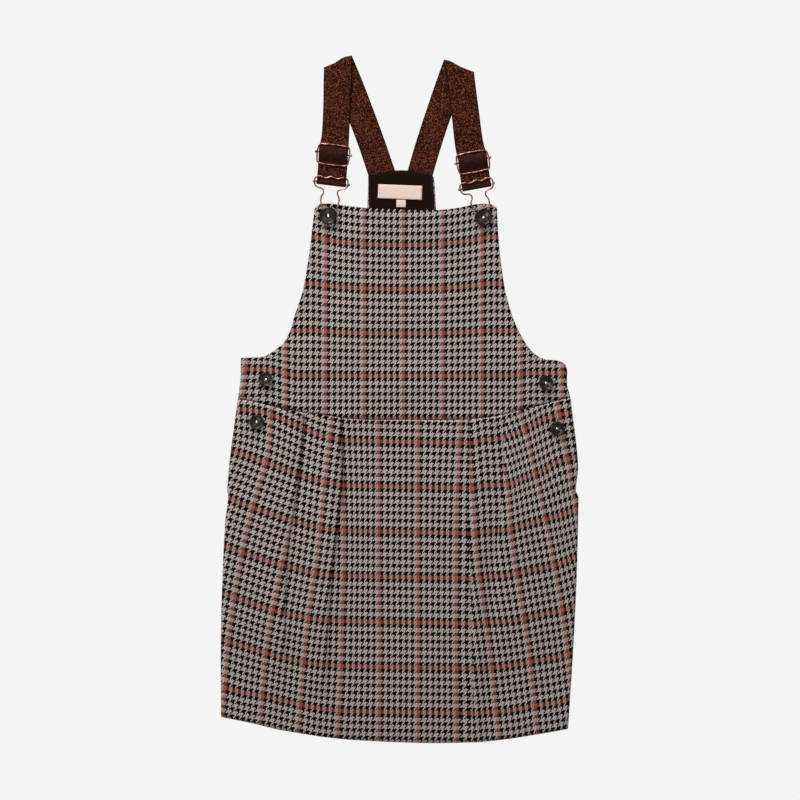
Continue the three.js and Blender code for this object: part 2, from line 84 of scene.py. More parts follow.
# %% Helpers for tables and lines
def table(columns, *rows):
    """A table with named columns, as a dictionary that holds each column."""
    return dict(zip(columns.split(), np.array(rows, float).T))


def follow(places, values):
    """A smooth curve through values, as a function of their places."""
    order = np.argsort(places)
    places = np.asarray(places, float)[order]
    values = np.asarray(values, float)[order]
    slopes = np.gradient(values, places)

    def at(place):
        place = np.clip(place, places[0], places[-1])
        i = np.clip(np.searchsorted(places, place, side="right") - 1, 0, len(places) - 2)
        span = places[i + 1] - places[i]
        t = (place - places[i]) / span
        from_left = (1 + 2 * t) * values[i] + t * span * slopes[i]
        from_right = (3 - 2 * t) * values[i + 1] - (1 - t) * span * slopes[i + 1]
        return (1 - t) ** 2 * from_left + t ** 2 * from_right

    return at


def smoothstep(value, low, high):
    """A soft ramp from 0 at low to 1 at high."""
    t = np.clip((value - low) / (high - low), 0, 1)
    return t * t * (3 - 2 * t)


def lerp(first, second, share):
    """The value at a share of the way from first to second."""
    return first + (second - first) * share


def smooth_line(points, count=160):
    """A row of points along the smooth line through the given ones."""
    x, y = points["x"], points["y"]
    places = np.concatenate([[0], np.cumsum(np.hypot(np.diff(x), np.diff(y)))])
    even = np.linspace(0, places[-1], count)
    return np.column_stack([follow(places, x)(even), follow(places, y)(even)])


def edge(*parts):
    """An edge made of smooth lines that meet in corners. Each ends at its own share of the edge."""
    shares, points, start = [], [], 0
    for end, line in parts:
        shares.append(np.linspace(start, end, len(line)))
        points.append(line)
        start = end
    shares, points = np.concatenate(shares), np.concatenate(points)
    return lambda share: np.column_stack([np.interp(share, shares, c) for c in points.T])


def between(top, bottom, left, right):
    """The surface between four edges, as a function of the shares across and down."""
    corners = [top(np.array([0.0, 1.0])), bottom(np.array([0.0, 1.0]))]

    def at(u, v):
        u, v = u[:, None], v[:, None]
        across = (1 - v) * top(u[:, 0]) + v * bottom(u[:, 0])
        down = (1 - u) * left(v[:, 0]) + u * right(v[:, 0])
        flat = (1 - v) * lerp(*corners[0], u) + v * lerp(*corners[1], u)
        return (across + down - flat).T

    return at


def distance_to(x, y, line):
    """How far points lie from a line that is drawn through a row of points."""
    start, run = line[:-1], np.diff(line, axis=0)
    run_length = np.maximum((run ** 2).sum(1), 1e-9)
    dx, dy = x[:, None] - start[:, 0], y[:, None] - start[:, 1]
    share = np.clip((dx * run[:, 0] + dy * run[:, 1]) / run_length, 0, 1)
    return np.sqrt(((dx - share * run[:, 0]) ** 2 + (dy - share * run[:, 1]) ** 2).min(1))


print("a ramp half way up:", float(smoothstep(0.5, 0, 1)))

# %% [markdown]
# ## The outline of the dress
# These are the lines of the paper pattern: the top of the bib, the armholes that sweep out to the
# tops of the sides, the curved waist seam and the hem. Front and back share the side seams and the
# waist. The back is a narrow yoke that widens into the sides, mostly hidden by the bib.

# %% The lines of the pattern, in millimetres
bib_top = table(
    "x y",
    (-81.0, 181.0), (-79.4, 183.8), (-76.0, 185.8), (-70.1, 186.4), (-53.0, 184.8),
    (-28.3, 181.4), (0.0, 180.3), (38.2, 180.0), (55.0, 182.2), (72.4, 185.7),
    (83.0, 186.1), (89.5, 184.9), (92.6, 181.5),
)
left_armhole = table(
    "x y",
    (-81.0, 181.0), (-83.4, 162.0), (-87.2, 131.6), (-92.9, 101.2), (-100.5, 78.4),
    (-105.2, 63.2), (-110.5, 53.5), (-118.5, 47.0), (-129.0, 40.8), (-136.0, 39.6),
)
left_side_top = table("x y", (-136.0, 39.6), (-150.8, 39.4))
left_side = table("x y", (-150.8, 39.4), (-151.4, 18.0), (-153.7, 0.9))
right_armhole = table(
    "x y",
    (92.6, 181.5), (93.4, 162.0), (96.2, 131.6), (100.9, 101.2), (107.6, 78.4),
    (114.2, 63.2), (122.8, 48.8), (130.5, 41.4), (138.5, 37.8),
)
right_side_top = table("x y", (138.5, 37.8), (151.3, 36.3), (157.3, 33.2), (159.2, 27.0))
right_side = table("x y", (159.2, 27.0), (158.9, 14.7), (162.2, 1.9))
waist_seam = table(
    "x y",
    (-153.7, 0.9), (-132.8, -3.3), (-113.8, -8.1), (-91.0, -12.3), (-69.1, -15.2),
    (-52.0, -17.6), (-37.8, -18.8), (0.0, -19.0), (63.9, -18.7), (78.1, -17.6),
    (100.0, -13.8), (119.9, -8.5), (131.3, -6.2), (147.5, -1.4), (162.2, 1.9),
)
hem = table(
    "x y",
    (-169.8, -301.6), (-141.3, -307.3), (-112.8, -314.0), (-84.3, -318.7), (-55.8, -322.5),
    (-27.3, -324.4), (1.2, -325.7), (44.0, -326.3), (86.7, -324.4), (115.2, -320.6),
    (143.7, -315.9), (159.8, -313.0),
)
back_half_widths = table(
    "y half",
    (212.0, 30.6), (207.0, 31.3), (188.0, 32.4), (161.0, 34.8), (132.5, 39.0), (104.0, 43.7),
    (77.4, 50.4), (60.0, 60.0), (50.0, 74.0), (44.0, 96.0), (41.0, 122.0),
)
yoke_top = table("x y", (-29.4, 212.0), (-4.2, 216.8), (7.8, 216.8), (31.8, 212.0))
BACK_MIDDLE = 1.7
SIDE_TOP_HEIGHT = 41.0

seam_at = follow(waist_seam["x"], waist_seam["y"])
hem_at = follow(hem["x"], hem["y"])


def back_half(y):
    """Half the width of the back at a height on the dress."""
    return np.interp(y, back_half_widths["y"][::-1], back_half_widths["half"][::-1])


print("from the bib to the hem:", round(float(bib_top["y"].max() - hem["y"].min())), "mm")

# %% [markdown]
# ## The cloth and its repeats
# The cloth is a houndstooth twill with a rust line every 52 threads across and every 48 threads
# down, so one repeat is 38 mm wide and about 43 mm high. Each panel gets a UV map named Cloth that
# counts these repeats: U across the dress and V down it. The pattern then bends, leans and folds
# with the cloth, as a woven pattern does. Whole numbers lie on the middle of the rust lines.

# %% The repeats of the cloth
WARP_REPEAT = 38.0
WEFT_REPEAT = 42.75
CLOTH = 1.3
GAP = 0.3
SEAM_GAP = 0.5
BACK_SEAM_ABOVE = 1.2
FRONT_UNDER = CLOTH + GAP
SKIRT_MIDDLE = FRONT_UNDER + CLOTH / 2

BIB_ACROSS = (-146.4, -108.3, -70.5, -33.8, 3.5, 41.0, 78.3, 115.6, 154.4)
BIB_DOWN = (146.7, 104.9, 62.7, 22.3, -18.6)
BIB_HALF_WIDTH = 80.6
CORNER_RISE = 6.9
LEFT_RISE = 5.6
RIGHT_RISE = 2.2
LEFT_LEAN = 0.11
bib_lines_across = follow(BIB_ACROSS, range(9))
bib_lines_down = follow(BIB_DOWN, range(5))


def repeats_beyond(lines, place, first, last, repeat, direction):
    """The count of repeats, carried on evenly past the first and last line that is measured."""
    before = np.minimum(direction * (place - first), 0) / repeat
    after = np.maximum(direction * (place - last), 0) / repeat
    return lines(place) + before + after


def bib_cloth(x, y):
    """The repeats across and down at a point of the bodice. Its lines rise towards the corners."""
    to_corner = np.minimum(np.abs(x - 1) / BIB_HALF_WIDTH, 1.02)
    corner_rise = CORNER_RISE * to_corner ** 2.4 * np.clip((y - 15) / 132, 0, 1.3)
    below_armhole = smoothstep(60 - y, 0, 30)
    left_rise = LEFT_RISE * smoothstep(-x, 95, 130) * below_armhole
    right_rise = RIGHT_RISE * smoothstep(x, 105, 125) * below_armhole
    level = y - corner_rise - left_rise - right_rise
    lean = LEFT_LEAN * smoothstep(-x, 120, 146) * (28 - y)
    across = repeats_beyond(
        bib_lines_across, x + lean, BIB_ACROSS[0], BIB_ACROSS[-1], WARP_REPEAT, 1
    )
    down = repeats_beyond(bib_lines_down, level, BIB_DOWN[0], BIB_DOWN[-1], WEFT_REPEAT, -1)
    return across, down


print("one repeat is", WARP_REPEAT, "by", WEFT_REPEAT, "mm")

# %% [markdown]
# ## One way to make every panel
# Each panel starts as a flat grid of quads, which `create_grid` makes. Then every corner is moved
# to its place in the dress, and gets its place in the cloth. Moving a grid keeps the mesh even, so
# it shades smoothly, folds well and takes the Solidify modifier that gives the cloth its thickness.

# %% A helper that shapes a grid into a piece of cloth
def finish_piece(piece, replaces, material):
    """Sets what every piece needs: a material, a body, and the solids it stands for."""
    bpy.context.scene.collection.objects.link(piece)
    piece.data.polygons.foreach_set("use_smooth", [True] * len(piece.data.polygons))
    piece.data.materials.append(material)
    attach(piece, "root")
    if replaces:
        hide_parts(*replaces)
    return piece


def grid_piece(name, columns, rows, shape):
    """A mesh object from a grid. shape takes the shares across and down, and gives x, y, z, u, v."""
    bm = bmesh.new()
    bmesh.ops.create_grid(bm, x_segments=columns, y_segments=rows, size=0.5)
    corners = np.array([vert.co[:] for vert in bm.verts])
    x, y, z, u, v = shape(corners[:, 0] + 0.5, 0.5 - corners[:, 1])
    for vert, place in zip(bm.verts, np.column_stack([x, y, z]) * MM):
        vert.co = place
    uv_layer = bm.loops.layers.uv.new("Cloth")
    cloth_places = np.column_stack([u, v])
    for face in bm.faces:
        for loop in face.loops:
            loop[uv_layer].uv = cloth_places[loop.vert.index]
    mesh = bpy.data.meshes.new(name)
    bm.to_mesh(mesh)
    bm.free()
    return bpy.data.objects.new(name, mesh)


def thicken(piece, thickness):
    """Gives a sheet its wall, half to each side of the surface."""
    solidify = piece.modifiers.new("thickness", "SOLIDIFY")
    solidify.thickness = thickness * MM
    solidify.offset = 0
    return piece


def cloth_places_of(piece):
    """The place in the cloth of every corner of every face, as two columns."""
    uv = np.zeros(len(piece.data.loops) * 2)
    piece.data.uv_layers["Cloth"].data.foreach_get("uv", uv)
    return uv.reshape(-1, 2)


def flat_area(piece, across, down):
    """The area of the flat cut in square metres, from the piece's place in the cloth."""
    corner = cloth_places_of(piece).reshape(-1, 4, 2) * (across * MM, down * MM)
    first, second = corner[:, 2] - corner[:, 0], corner[:, 3] - corner[:, 1]
    return float(np.abs(first[:, 0] * second[:, 1] - first[:, 1] * second[:, 0]).sum() / 2)


def cut_size(piece, across, down):
    """The width and length of the cut in metres."""
    spread = np.ptp(cloth_places_of(piece), axis=0)
    return float(spread[0] * across * MM), float(spread[1] * down * MM)


def declare_cloth(piece, across=WARP_REPEAT, down=WEFT_REPEAT):
    """Prints the width and length of a sheet's cut."""
    flat = cut_size(piece, across, down)
    area = flat_area(piece, across, down)
    print(piece.name, "is cut from", [round(side * 1000) for side in flat], "mm of cloth")


print("a wall of cloth is", CLOTH, "mm thick")

# %% [markdown]
# ## Small wires in a node tree
# Blender's materials are graphs of nodes. Placing nodes by hand takes many lines, so these three
# helpers place one node, one sum or one mix of colours each, and join what is handed to them.

# %% Helpers for node trees
def place_node(tree, kind, inputs=None, **settings):
    """A node with its settings, and each input set to a value or joined to a socket."""
    node = tree.nodes.new(kind)
    for name, value in settings.items():
        setattr(node, name, value)
    for name, value in (inputs or {}).items():
        if isinstance(value, bpy.types.NodeSocket):
            tree.links.new(value, node.inputs[name])
        else:
            node.inputs[name].default_value = value
    return node


def calc(tree, operation, first, second=0.0, third=0.0):
    """One Math node."""
    node = place_node(tree, "ShaderNodeMath", {0: first, 1: second, 2: third}, operation=operation)
    return node.outputs[0]


def mix_colours(tree, share, first, second, mode="MIX"):
    """One Mix node for colours."""
    inputs = {0: share, 6: first, 7: second}
    node = place_node(tree, "ShaderNodeMix", inputs, data_type="RGBA", blend_type=mode)
    return node.outputs[2]


def noise(tree, place, scale, detail=2.0, roughness=0.5):
    """A noise texture's value."""
    inputs = {"Vector": place, "Scale": scale, "Detail": detail, "Roughness": roughness}
    return place_node(tree, "ShaderNodeTexNoise", inputs).outputs["Fac"]


def colour(red, green, blue):
    """A colour given as a screen shows it, from 0 to 255, in the linear values that Blender uses."""
    parts = np.array([red, green, blue]) / 255
    linear = np.where(parts <= 0.04045, parts / 12.92, ((parts + 0.055) / 1.055) ** 2.4)
    return (*linear.tolist(), 1.0)


def new_group(name, inputs, outputs):
    """An empty node group with named sockets, and its two end nodes."""
    group = bpy.data.node_groups.new(name, "ShaderNodeTree")
    kinds = {"vector": "NodeSocketVector", "colour": "NodeSocketColor", "value": "NodeSocketFloat"}
    for side, sockets in (("INPUT", inputs), ("OUTPUT", outputs)):
        for socket_name, kind in sockets.items():
            group.interface.new_socket(name=socket_name, in_out=side, socket_type=kinds[kind])
    start = group.nodes.new("NodeGroupInput")
    end = group.nodes.new("NodeGroupOutput")
    return group, start.outputs, end.inputs


def new_material(name, **settings):
    """A material with a Principled shader, whose plain values are set on its own sockets."""
    material = bpy.data.materials.new(name)
    material.use_nodes = True
    shader = material.node_tree.nodes["Principled BSDF"]
    for socket, value in settings.items():
        shader.inputs[socket.replace("_", " ")].default_value = value
    return material, material.node_tree, shader


def use_group(tree, group, **inputs):
    """A node group placed in a material, with its inputs set."""
    node = tree.nodes.new("ShaderNodeGroup")
    node.node_tree = group
    for name, value in inputs.items():
        socket = node.inputs[name.replace("_", " ")]
        if isinstance(value, bpy.types.NodeSocket):
            tree.links.new(value, socket)
        else:
            socket.default_value = value
    return node.outputs


print("mid grey in linear light:", round(colour(128, 128, 128)[0], 3))

# %% [markdown]
# ## The houndstooth weave
# Houndstooth isn't printed. It comes from a two-up two-down twill whose threads change colour every
# four: four dark, four light, across and down. This group does what the loom does. It finds which
# warp and weft thread cross at a point, works out which of them lies on top, and takes that
# thread's colour. The teeth then appear by themselves, at the right size and slope. The rust
# threads replace one group of four in each repeat. Where they run, some of the colour of the thread
# below shows through, as it does in a brushed cloth.

# %% Helpers for counting threads
WARP_THREADS = 52
WEFT_THREADS = 48
RUST_THREADS = 4
BAND = 8
TWILL_START = 2
WANDER = 0.5
SHOW_THROUGH = 0.38
FIRST_WARP = WARP_THREADS - RUST_THREADS / 2
FIRST_WEFT = WEFT_THREADS - RUST_THREADS / 2


def thread_colours(tree, threads, repeat, light, dark, rust):
    """The colour at a place counted in threads: dark and light by turns, and rust at the end."""
    place = calc(tree, "FLOORED_MODULO", threads, repeat)
    band = calc(tree, "FLOORED_MODULO", place, BAND)
    is_dark = calc(tree, "LESS_THAN", band, BAND / 2)
    is_rust = calc(tree, "GREATER_THAN", place, repeat - RUST_THREADS)
    plain = mix_colours(tree, is_dark, light, dark)
    return mix_colours(tree, is_rust, plain, rust)


def rust_line(tree, threads, repeat):
    """Where a rust line runs: 1 on its threads, and 0 beyond them."""
    shifted = calc(tree, "ADD", threads, (RUST_THREADS + repeat) / 2)
    place = calc(tree, "FLOORED_MODULO", shifted, repeat)
    distance = calc(tree, "ABSOLUTE", calc(tree, "SUBTRACT", place, repeat / 2))
    inputs = {0: distance, 1: RUST_THREADS / 2, 2: RUST_THREADS * 0.7, 3: 1.0, 4: 0.0}
    return place_node(tree, "ShaderNodeMapRange", inputs).outputs[0]


def arch(tree, share):
    """A round hump over a share from 0 to 1."""
    centred = calc(tree, "MULTIPLY_ADD", share, 2.0, -1.0)
    squared = calc(tree, "MULTIPLY", centred, centred)
    return calc(tree, "SUBTRACT", 1.0, squared)


print("one repeat has", WARP_THREADS, "threads across and", WEFT_THREADS, "down")

# %% [markdown]
# The group starts from the Cloth map and counts threads. A little noise lets them wander, as real
# yarn does. In a two-up two-down twill the warp lies on top in two of every four steps, and each
# row is shifted by one thread, which gives the weave its slope.

# %% Count the threads and find the one on top
weave, given, result = new_group(
    "houndstooth weave",
    {
        "Cloth": "vector", "Light": "colour", "Dark": "colour", "Rust": "colour",
        "Rust pale": "colour",
    },
    {"Colour": "colour", "Height": "value", "Roughness": "value"},
)
in_mm = place_node(
    weave, "ShaderNodeVectorMath",
    {0: given["Cloth"], 1: (WARP_REPEAT, WEFT_REPEAT, 1.0)}, operation="MULTIPLY",
).outputs[0]
place = place_node(weave, "ShaderNodeSeparateXYZ", {0: given["Cloth"]}).outputs
wander_across = calc(
    weave, "MULTIPLY_ADD", noise(weave, in_mm, 1.1), WANDER, FIRST_WARP - WANDER / 2
)
wander_down = calc(
    weave, "MULTIPLY_ADD", noise(weave, in_mm, 0.9), WANDER, FIRST_WEFT - WANDER / 2
)
warp_place = calc(weave, "MULTIPLY_ADD", place[0], WARP_THREADS, wander_across)
weft_place = calc(weave, "MULTIPLY_ADD", place[1], WEFT_THREADS, wander_down)
warp_thread = calc(weave, "FLOOR", warp_place)
weft_thread = calc(weave, "FLOOR", weft_place)
warp_share = calc(weave, "SUBTRACT", warp_place, warp_thread)
weft_share = calc(weave, "SUBTRACT", weft_place, weft_thread)
threads_on = calc(weave, "ADD", warp_thread, weft_thread)
step = calc(weave, "FLOORED_MODULO", calc(weave, "ADD", threads_on, TWILL_START), 4.0)
warp_on_top = calc(weave, "LESS_THAN", step, 1.5)
print("the twill takes", len(weave.nodes), "nodes so far")

# %% [markdown]
# Each thread's colour follows from its own count. The rust yarn is uneven: a slow noise fades it
# between two tones, so that some stretches glow more than others.

# %% Colour the threads
fleck = noise(weave, in_mm, 2.6, 3.0, 0.7)
patch = noise(weave, in_mm, 0.16, 1.0)
rust_share = place_node(
    weave, "ShaderNodeMapRange", {0: patch, 1: 0.38, 2: 0.62, 3: 0.0, 4: 1.0}
).outputs[0]
rust_warp = mix_colours(
    weave, calc(weave, "MULTIPLY_ADD", rust_share, 0.6, 0.4), given["Rust"], given["Rust pale"]
)
rust_weft = mix_colours(
    weave, calc(weave, "MULTIPLY", rust_share, 0.5), given["Rust"], given["Rust pale"]
)
warp_colour = thread_colours(
    weave, warp_place, WARP_THREADS, given["Light"], given["Dark"], rust_warp
)
weft_colour = thread_colours(
    weave, weft_place, WEFT_THREADS, given["Light"], given["Dark"], rust_weft
)
upper = mix_colours(weave, warp_on_top, weft_colour, warp_colour)
under = mix_colours(weave, warp_on_top, warp_colour, weft_colour)
on_line = calc(
    weave, "MAXIMUM", rust_line(weave, warp_place, WARP_THREADS),
    rust_line(weave, weft_place, WEFT_THREADS),
)
top_colour = mix_colours(weave, calc(weave, "MULTIPLY", on_line, SHOW_THROUGH), upper, under)
print("with its colours it has", len(weave.nodes), "nodes")

# %% [markdown]
# A thread is round across, and bows up along its float, which is the stretch where it lies on top.
# The height drives the bump, and it also darkens the crevices, where little light gets in.

# %% Shape the threads
warp_float = calc(weave, "MULTIPLY", calc(weave, "ADD", step, weft_share), 0.5)
weft_float = calc(
    weave, "MULTIPLY", calc(weave, "ADD", calc(weave, "SUBTRACT", step, 2.0), warp_share), 0.5
)
float_share = place_node(
    weave, "ShaderNodeMix", {0: warp_on_top, 2: weft_float, 3: warp_float}, data_type="FLOAT"
).outputs[0]
across_share = place_node(
    weave, "ShaderNodeMix", {0: warp_on_top, 2: weft_share, 3: warp_share}, data_type="FLOAT"
).outputs[0]
roundness = calc(weave, "MULTIPLY", arch(weave, across_share), 0.6)
bow = calc(weave, "MULTIPLY", arch(weave, float_share), 0.4)
thread_height = calc(weave, "ADD", roundness, bow)
fuzz = calc(weave, "MULTIPLY_ADD", fleck, 0.5, -0.25)
height = calc(weave, "ADD", thread_height, fuzz)

crevice = place_node(
    weave, "ShaderNodeMapRange", {0: thread_height, 1: 0.1, 2: 0.95, 3: 0.0, 4: 1.0}
).outputs[0]
brightness = calc(weave, "MULTIPLY", crevice, calc(weave, "MULTIPLY_ADD", fleck, 0.5, 0.78))
shades = place_node(weave, "ShaderNodeCombineColor", {0: brightness, 1: brightness, 2: brightness})
woven = mix_colours(weave, 1.0, top_colour, shades.outputs[0], "MULTIPLY")
weave.links.new(woven, result["Colour"])
weave.links.new(height, result["Height"])
weave.links.new(calc(weave, "MULTIPLY_ADD", fleck, 0.3, 0.7), result["Roughness"])
print("the weave has", len(weave.nodes), "nodes")

# %% [markdown]
# The cloth's material reads the panel's own Cloth map and hands it to the weave. The bump uses the
# weave's height, so each thread is round. A little sheen stands for the brushed, woolly surface.

# %% The cloth's material
def cloth_material(name, light, dark, rust, rust_pale):
    """A woven cloth's material, with the colours of its yarns."""
    material, tree, shader = new_material(
        name, Sheen_Weight=0.015, Sheen_Roughness=0.5, Specular_IOR_Level=0.05
    )
    cloth_map = place_node(tree, "ShaderNodeUVMap", uv_map="Cloth").outputs[0]
    woven = use_group(
        tree, weave, Cloth=cloth_map, Light=light, Dark=dark, Rust=rust, Rust_pale=rust_pale
    )
    bump = place_node(
        tree, "ShaderNodeBump", {"Height": woven["Height"], "Strength": 0.6, "Distance": 0.25 * MM}
    )
    tree.links.new(woven["Colour"], shader.inputs["Base Color"])
    tree.links.new(woven["Roughness"], shader.inputs["Roughness"])
    tree.links.new(bump.outputs[0], shader.inputs["Normal"])
    return material


front_cloth = cloth_material(
    "houndstooth cloth", colour(210, 195, 189), colour(9, 3, 1), colour(178, 84, 55),
    colour(190, 121, 102),
)
# The back is cut from the same cloth. Its light yarn and its rust are a little darker here, as
# painted shade on the back panels, which lie lowest, under the others.
shaded_back_cloth = cloth_material(
    "houndstooth cloth of the back with painted shade", colour(204, 189, 183), colour(9, 3, 1),
    colour(170, 81, 53), colour(185, 118, 99),
)
print("materials:", front_cloth.name, "and", shaded_back_cloth.name)

# %% [markdown]
# ## The back panels
# The back lies on the floor under everything else. Its yoke shows above the bib, where the straps
# are sewn in, and the rest only shows from a low angle. The back of the bodice is a surface
# stretched between its four edges.

# %% Make the back of the bodice
BACK_LINE_X = -3.0
BACK_BODICE_LINE_Y = 20.0
BACK_SKIRT_LINE_Y = -40.0


def rounded_edge(distance, drop, reach):
    """How far cloth sinks as it nears an edge that is turned under."""
    return drop * (1 - np.clip(distance / reach, 0, 1)) ** 2


def back_cloth_places(x, y, line_y):
    """The repeats across and down at a point of the back, from a place where two lines cross."""
    return (x - BACK_LINE_X) / WARP_REPEAT, -(y - line_y) / WEFT_REPEAT


def seam_line(dy):
    """The waist seam, moved up or down."""
    x = np.linspace(waist_seam["x"][0], waist_seam["x"][-1], 160)
    return np.column_stack([x, seam_at(x) + dy])


def back_side(sign, side_top, side):
    """One side of the back, from the top of the yoke down to the waist."""
    half = back_half_widths
    curve = table("x y", *zip(BACK_MIDDLE + sign * half["half"], half["y"]))
    flat = table("x y", (curve["x"][-1], curve["y"][-1]), (side_top["x"][-1], side_top["y"][-1]))
    return edge((0.76, smooth_line(curve)), (0.86, smooth_line(flat)), (1, smooth_line(side)))


back_bodice_surface = between(
    edge((1, smooth_line(yoke_top))),
    edge((1, seam_line(BACK_SEAM_ABOVE + SEAM_GAP / 2))),
    back_side(-1, left_side_top, left_side),
    back_side(1, right_side_top, right_side),
)


def back_bodice_shape(u, v):
    x, y = back_bodice_surface(u, v)
    z = np.full_like(x, CLOTH / 2)
    return x, y, z, *back_cloth_places(x, y, BACK_BODICE_LINE_Y)


back_bodice = thicken(grid_piece("back_of_bodice", 60, 90, back_bodice_shape), CLOTH - 0.05)
finish_piece(back_bodice, ["bodice_back"], shaded_back_cloth)
declare_cloth(back_bodice)

# %% [markdown]
# ## The pleated skirt
# Four knife pleats are tucked into the waist seam, two on each side, with their folds towards the
# middle. A pleat is cloth laid in a Z: over, back under itself, and on again. Lower down each one
# opens into a soft slope. The tables give, at a few levels from the waist (0) to the hem (1), where
# the fold shows, how far it is tucked, and the repeats of cloth at its crest and below it. A tuck
# below zero is a pleat that has opened. From them the script draws the line of the cloth at every
# level, with rounded folds, and lays the grid's columns along it. The table of lines holds where
# the rust lines four, five and six run down the middle. The tables of rises tell how far the lines
# across climb towards the sides, at distances in millimetres that the columns name.

# %% The skirt's tables
skirt_sides = table(
    "level left right",
    (0.00, -153.7, 162.2), (0.20, -161.7, 169.3), (0.40, -166.0, 169.2), (0.74, -169.8, 165.1),
    (1.00, -169.8, 159.8),
)
side_repeats = table(
    "level left near_right right",
    (0.00, -0.85, 9.77, 10.30), (0.15, -1.00, 9.53, 10.28), (0.30, -0.70, 9.15, 10.12),
    (0.40, -0.56, 8.94, 9.95), (0.55, -0.40, 8.71, 9.53), (0.74, -0.225, 8.47, 9.18),
    (1.00, -0.05, 8.23, 8.78),
)
NEAR_RIGHT = 140.0
skirt_lines = table(
    "level four five six",
    (0.00, -20.2, 18.0, 58.3), (0.20, -19.7, 17.4, 55.0), (0.40, -19.9, 17.3, 53.6),
    (0.74, -18.8, 17.6, 53.6), (1.00, -19.5, 17.4, 54.6),
)
pleats = {
    "outer_left": table(
        "level line tuck crest low",
        (0.00, -91.0, 9.5, 0.80, 1.29), (0.20, -95.7, 6.6, 0.90, 1.345),
        (0.30, -100.3, 4.6, 0.95, 1.31), (0.40, -105.2, 2.8, 1.02, 1.25),
        (0.55, -108.3, 1.0, 1.19, 1.32), (0.74, -110.9, -3.8, 1.405, 1.53),
        (1.00, -113.8, -7.6, 1.545, 1.77),
    ),
    "inner_left": table(
        "level line tuck crest low",
        (0.00, -55.8, 15.2, 2.21, 3.04), (0.20, -54.9, 12.4, 2.40, 2.975),
        (0.40, -61.5, 5.7, 2.40, 2.73), (0.74, -71.0, -2.8, 2.55, 2.66),
        (1.00, -73.9, -7.6, 2.615, 2.84),
    ),
    "inner_right": table(
        "level line tuck crest low",
        (0.00, 66.7, 14.3, 7.06, 6.25), (0.20, 66.3, 12.2, 6.94, 6.28),
        (0.40, 66.4, 10.2, 6.815, 6.28), (0.74, 69.6, 2.8, 6.50, 6.36),
        (1.00, 72.4, -5.7, 6.38, 6.22),
    ),
    "outer_right": table(
        "level line tuck crest low",
        (0.00, 100.0, 13.8, 8.6, 7.875), (0.20, 98.6, 3.3, 7.91, 7.73),
        (0.40, 95.2, -3.8, 7.66, 7.50), (0.74, 95.2, -7.6, 7.23, 7.00),
        (1.00, 95.2, -9.5, 6.99, 6.73),
    ),
}
left_rises = table(
    "level at_28 at_50 at_73 at_96 at_118",
    (0.05, 7.0, 16.5, 25.5, 29.5, 30.0), (0.19, 5.9, 12.8, 21.0, 29.0, 35.0),
    (0.35, 4.2, 9.8, 16.8, 24.5, 32.0), (0.50, 2.9, 8.0, 14.0, 21.5, 28.0),
    (0.64, 2.2, 6.1, 11.9, 19.0, 26.0), (0.79, 2.2, 6.0, 12.0, 18.4, 25.0),
    (0.93, 3.2, 7.8, 13.2, 17.0, 22.5),
)
right_rises = table(
    "level at_8 at_21 at_33 at_45 at_56 at_67 at_79 at_100",
    (0.05, 3.0, 3.8, 7.4, 11.9, 17.2, 22.9, 26.4, 30.3),
    (0.19, 2.5, 2.9, 3.9, 8.9, 13.1, 17.9, 24.4, 29.8),
    (0.37, 1.6, 2.4, 3.7, 7.0, 9.9, 12.6, 15.2, 22.1),
    (0.52, 1.3, 1.8, 3.2, 5.4, 7.9, 9.8, 12.6, 20.8),
    (0.66, 1.0, 1.3, 2.4, 4.0, 6.4, 8.8, 10.7, 16.3),
    (0.81, 0.3, 0.9, 2.4, 4.2, 6.6, 8.3, 10.3, 16.3),
    (0.95, 1.2, 1.5, 2.6, 4.4, 7.1, 8.2, 10.1, 15.3),
)
FIRST_LINE = -40.1
RISE_FROM = {"left": -52.0, "right": 70.0}
TILT = 0.019
RIGHT_DENT = -2.6
LEFT_DENT = 1.3


def at_level(rows, column, level):
    """A column's value at a level between those of the table."""
    return follow(rows["level"], rows[column])(level)


def rise_past(rows, distance, level):
    """How far a weft line has risen at a distance past the middle of the skirt, at one level."""
    columns = [name for name in rows if name != "level"]
    places = [0.0, *(float(name[3:]) for name in columns)]
    values = [0.0, *(float(at_level(rows, name, level)) for name in columns)]
    return follow(places, values)(distance)


def skirt_repeats_down(x, y, level):
    """The repeats down the skirt. The weft lines rise towards both sides, as the cut is shaped."""
    rise = rise_past(left_rises, RISE_FROM["left"] - x, level)
    rise = rise + rise_past(right_rises, x - RISE_FROM["right"], level)
    rise = rise - TILT * np.clip(x, RISE_FROM["left"], RISE_FROM["right"])
    return 1 + (FIRST_LINE + rise - y) / WEFT_REPEAT


def side_dent(x, y, left, right):
    """The small step in each side seam, where the pocket's opening ends."""
    on_right = RIGHT_DENT * smoothstep(-y, 62, 86) * (1 - smoothstep(-y, 88, 92))
    on_left = LEFT_DENT * smoothstep(-y, 86, 91) * (1 - smoothstep(-y, 96, 120))
    near_right, near_left = smoothstep(x - right, -14, -1), smoothstep(left - x, -14, -1)
    return on_right * near_right + on_left * near_left


print("pleats:", ", ".join(pleats))

# %% [markdown]
# The line of the cloth at one level is a polygon with its corners rounded off. Each rounded corner
# is a quadratic curve between the middles of two sides, so the curve touches every side and never
# kinks. Where a pleat is tucked, the polygon runs over, back and on again.

# %% Draw the line of the cloth across the skirt
PLEAT_STACK = 2 * (CLOTH + GAP)
OPEN_PLEAT_HEIGHT = 0.6
OPEN_PLEAT_TUCK = 7.6
REST = 2.0
SKIRT_LOFT = 3.8
CORNER_STEPS = 8


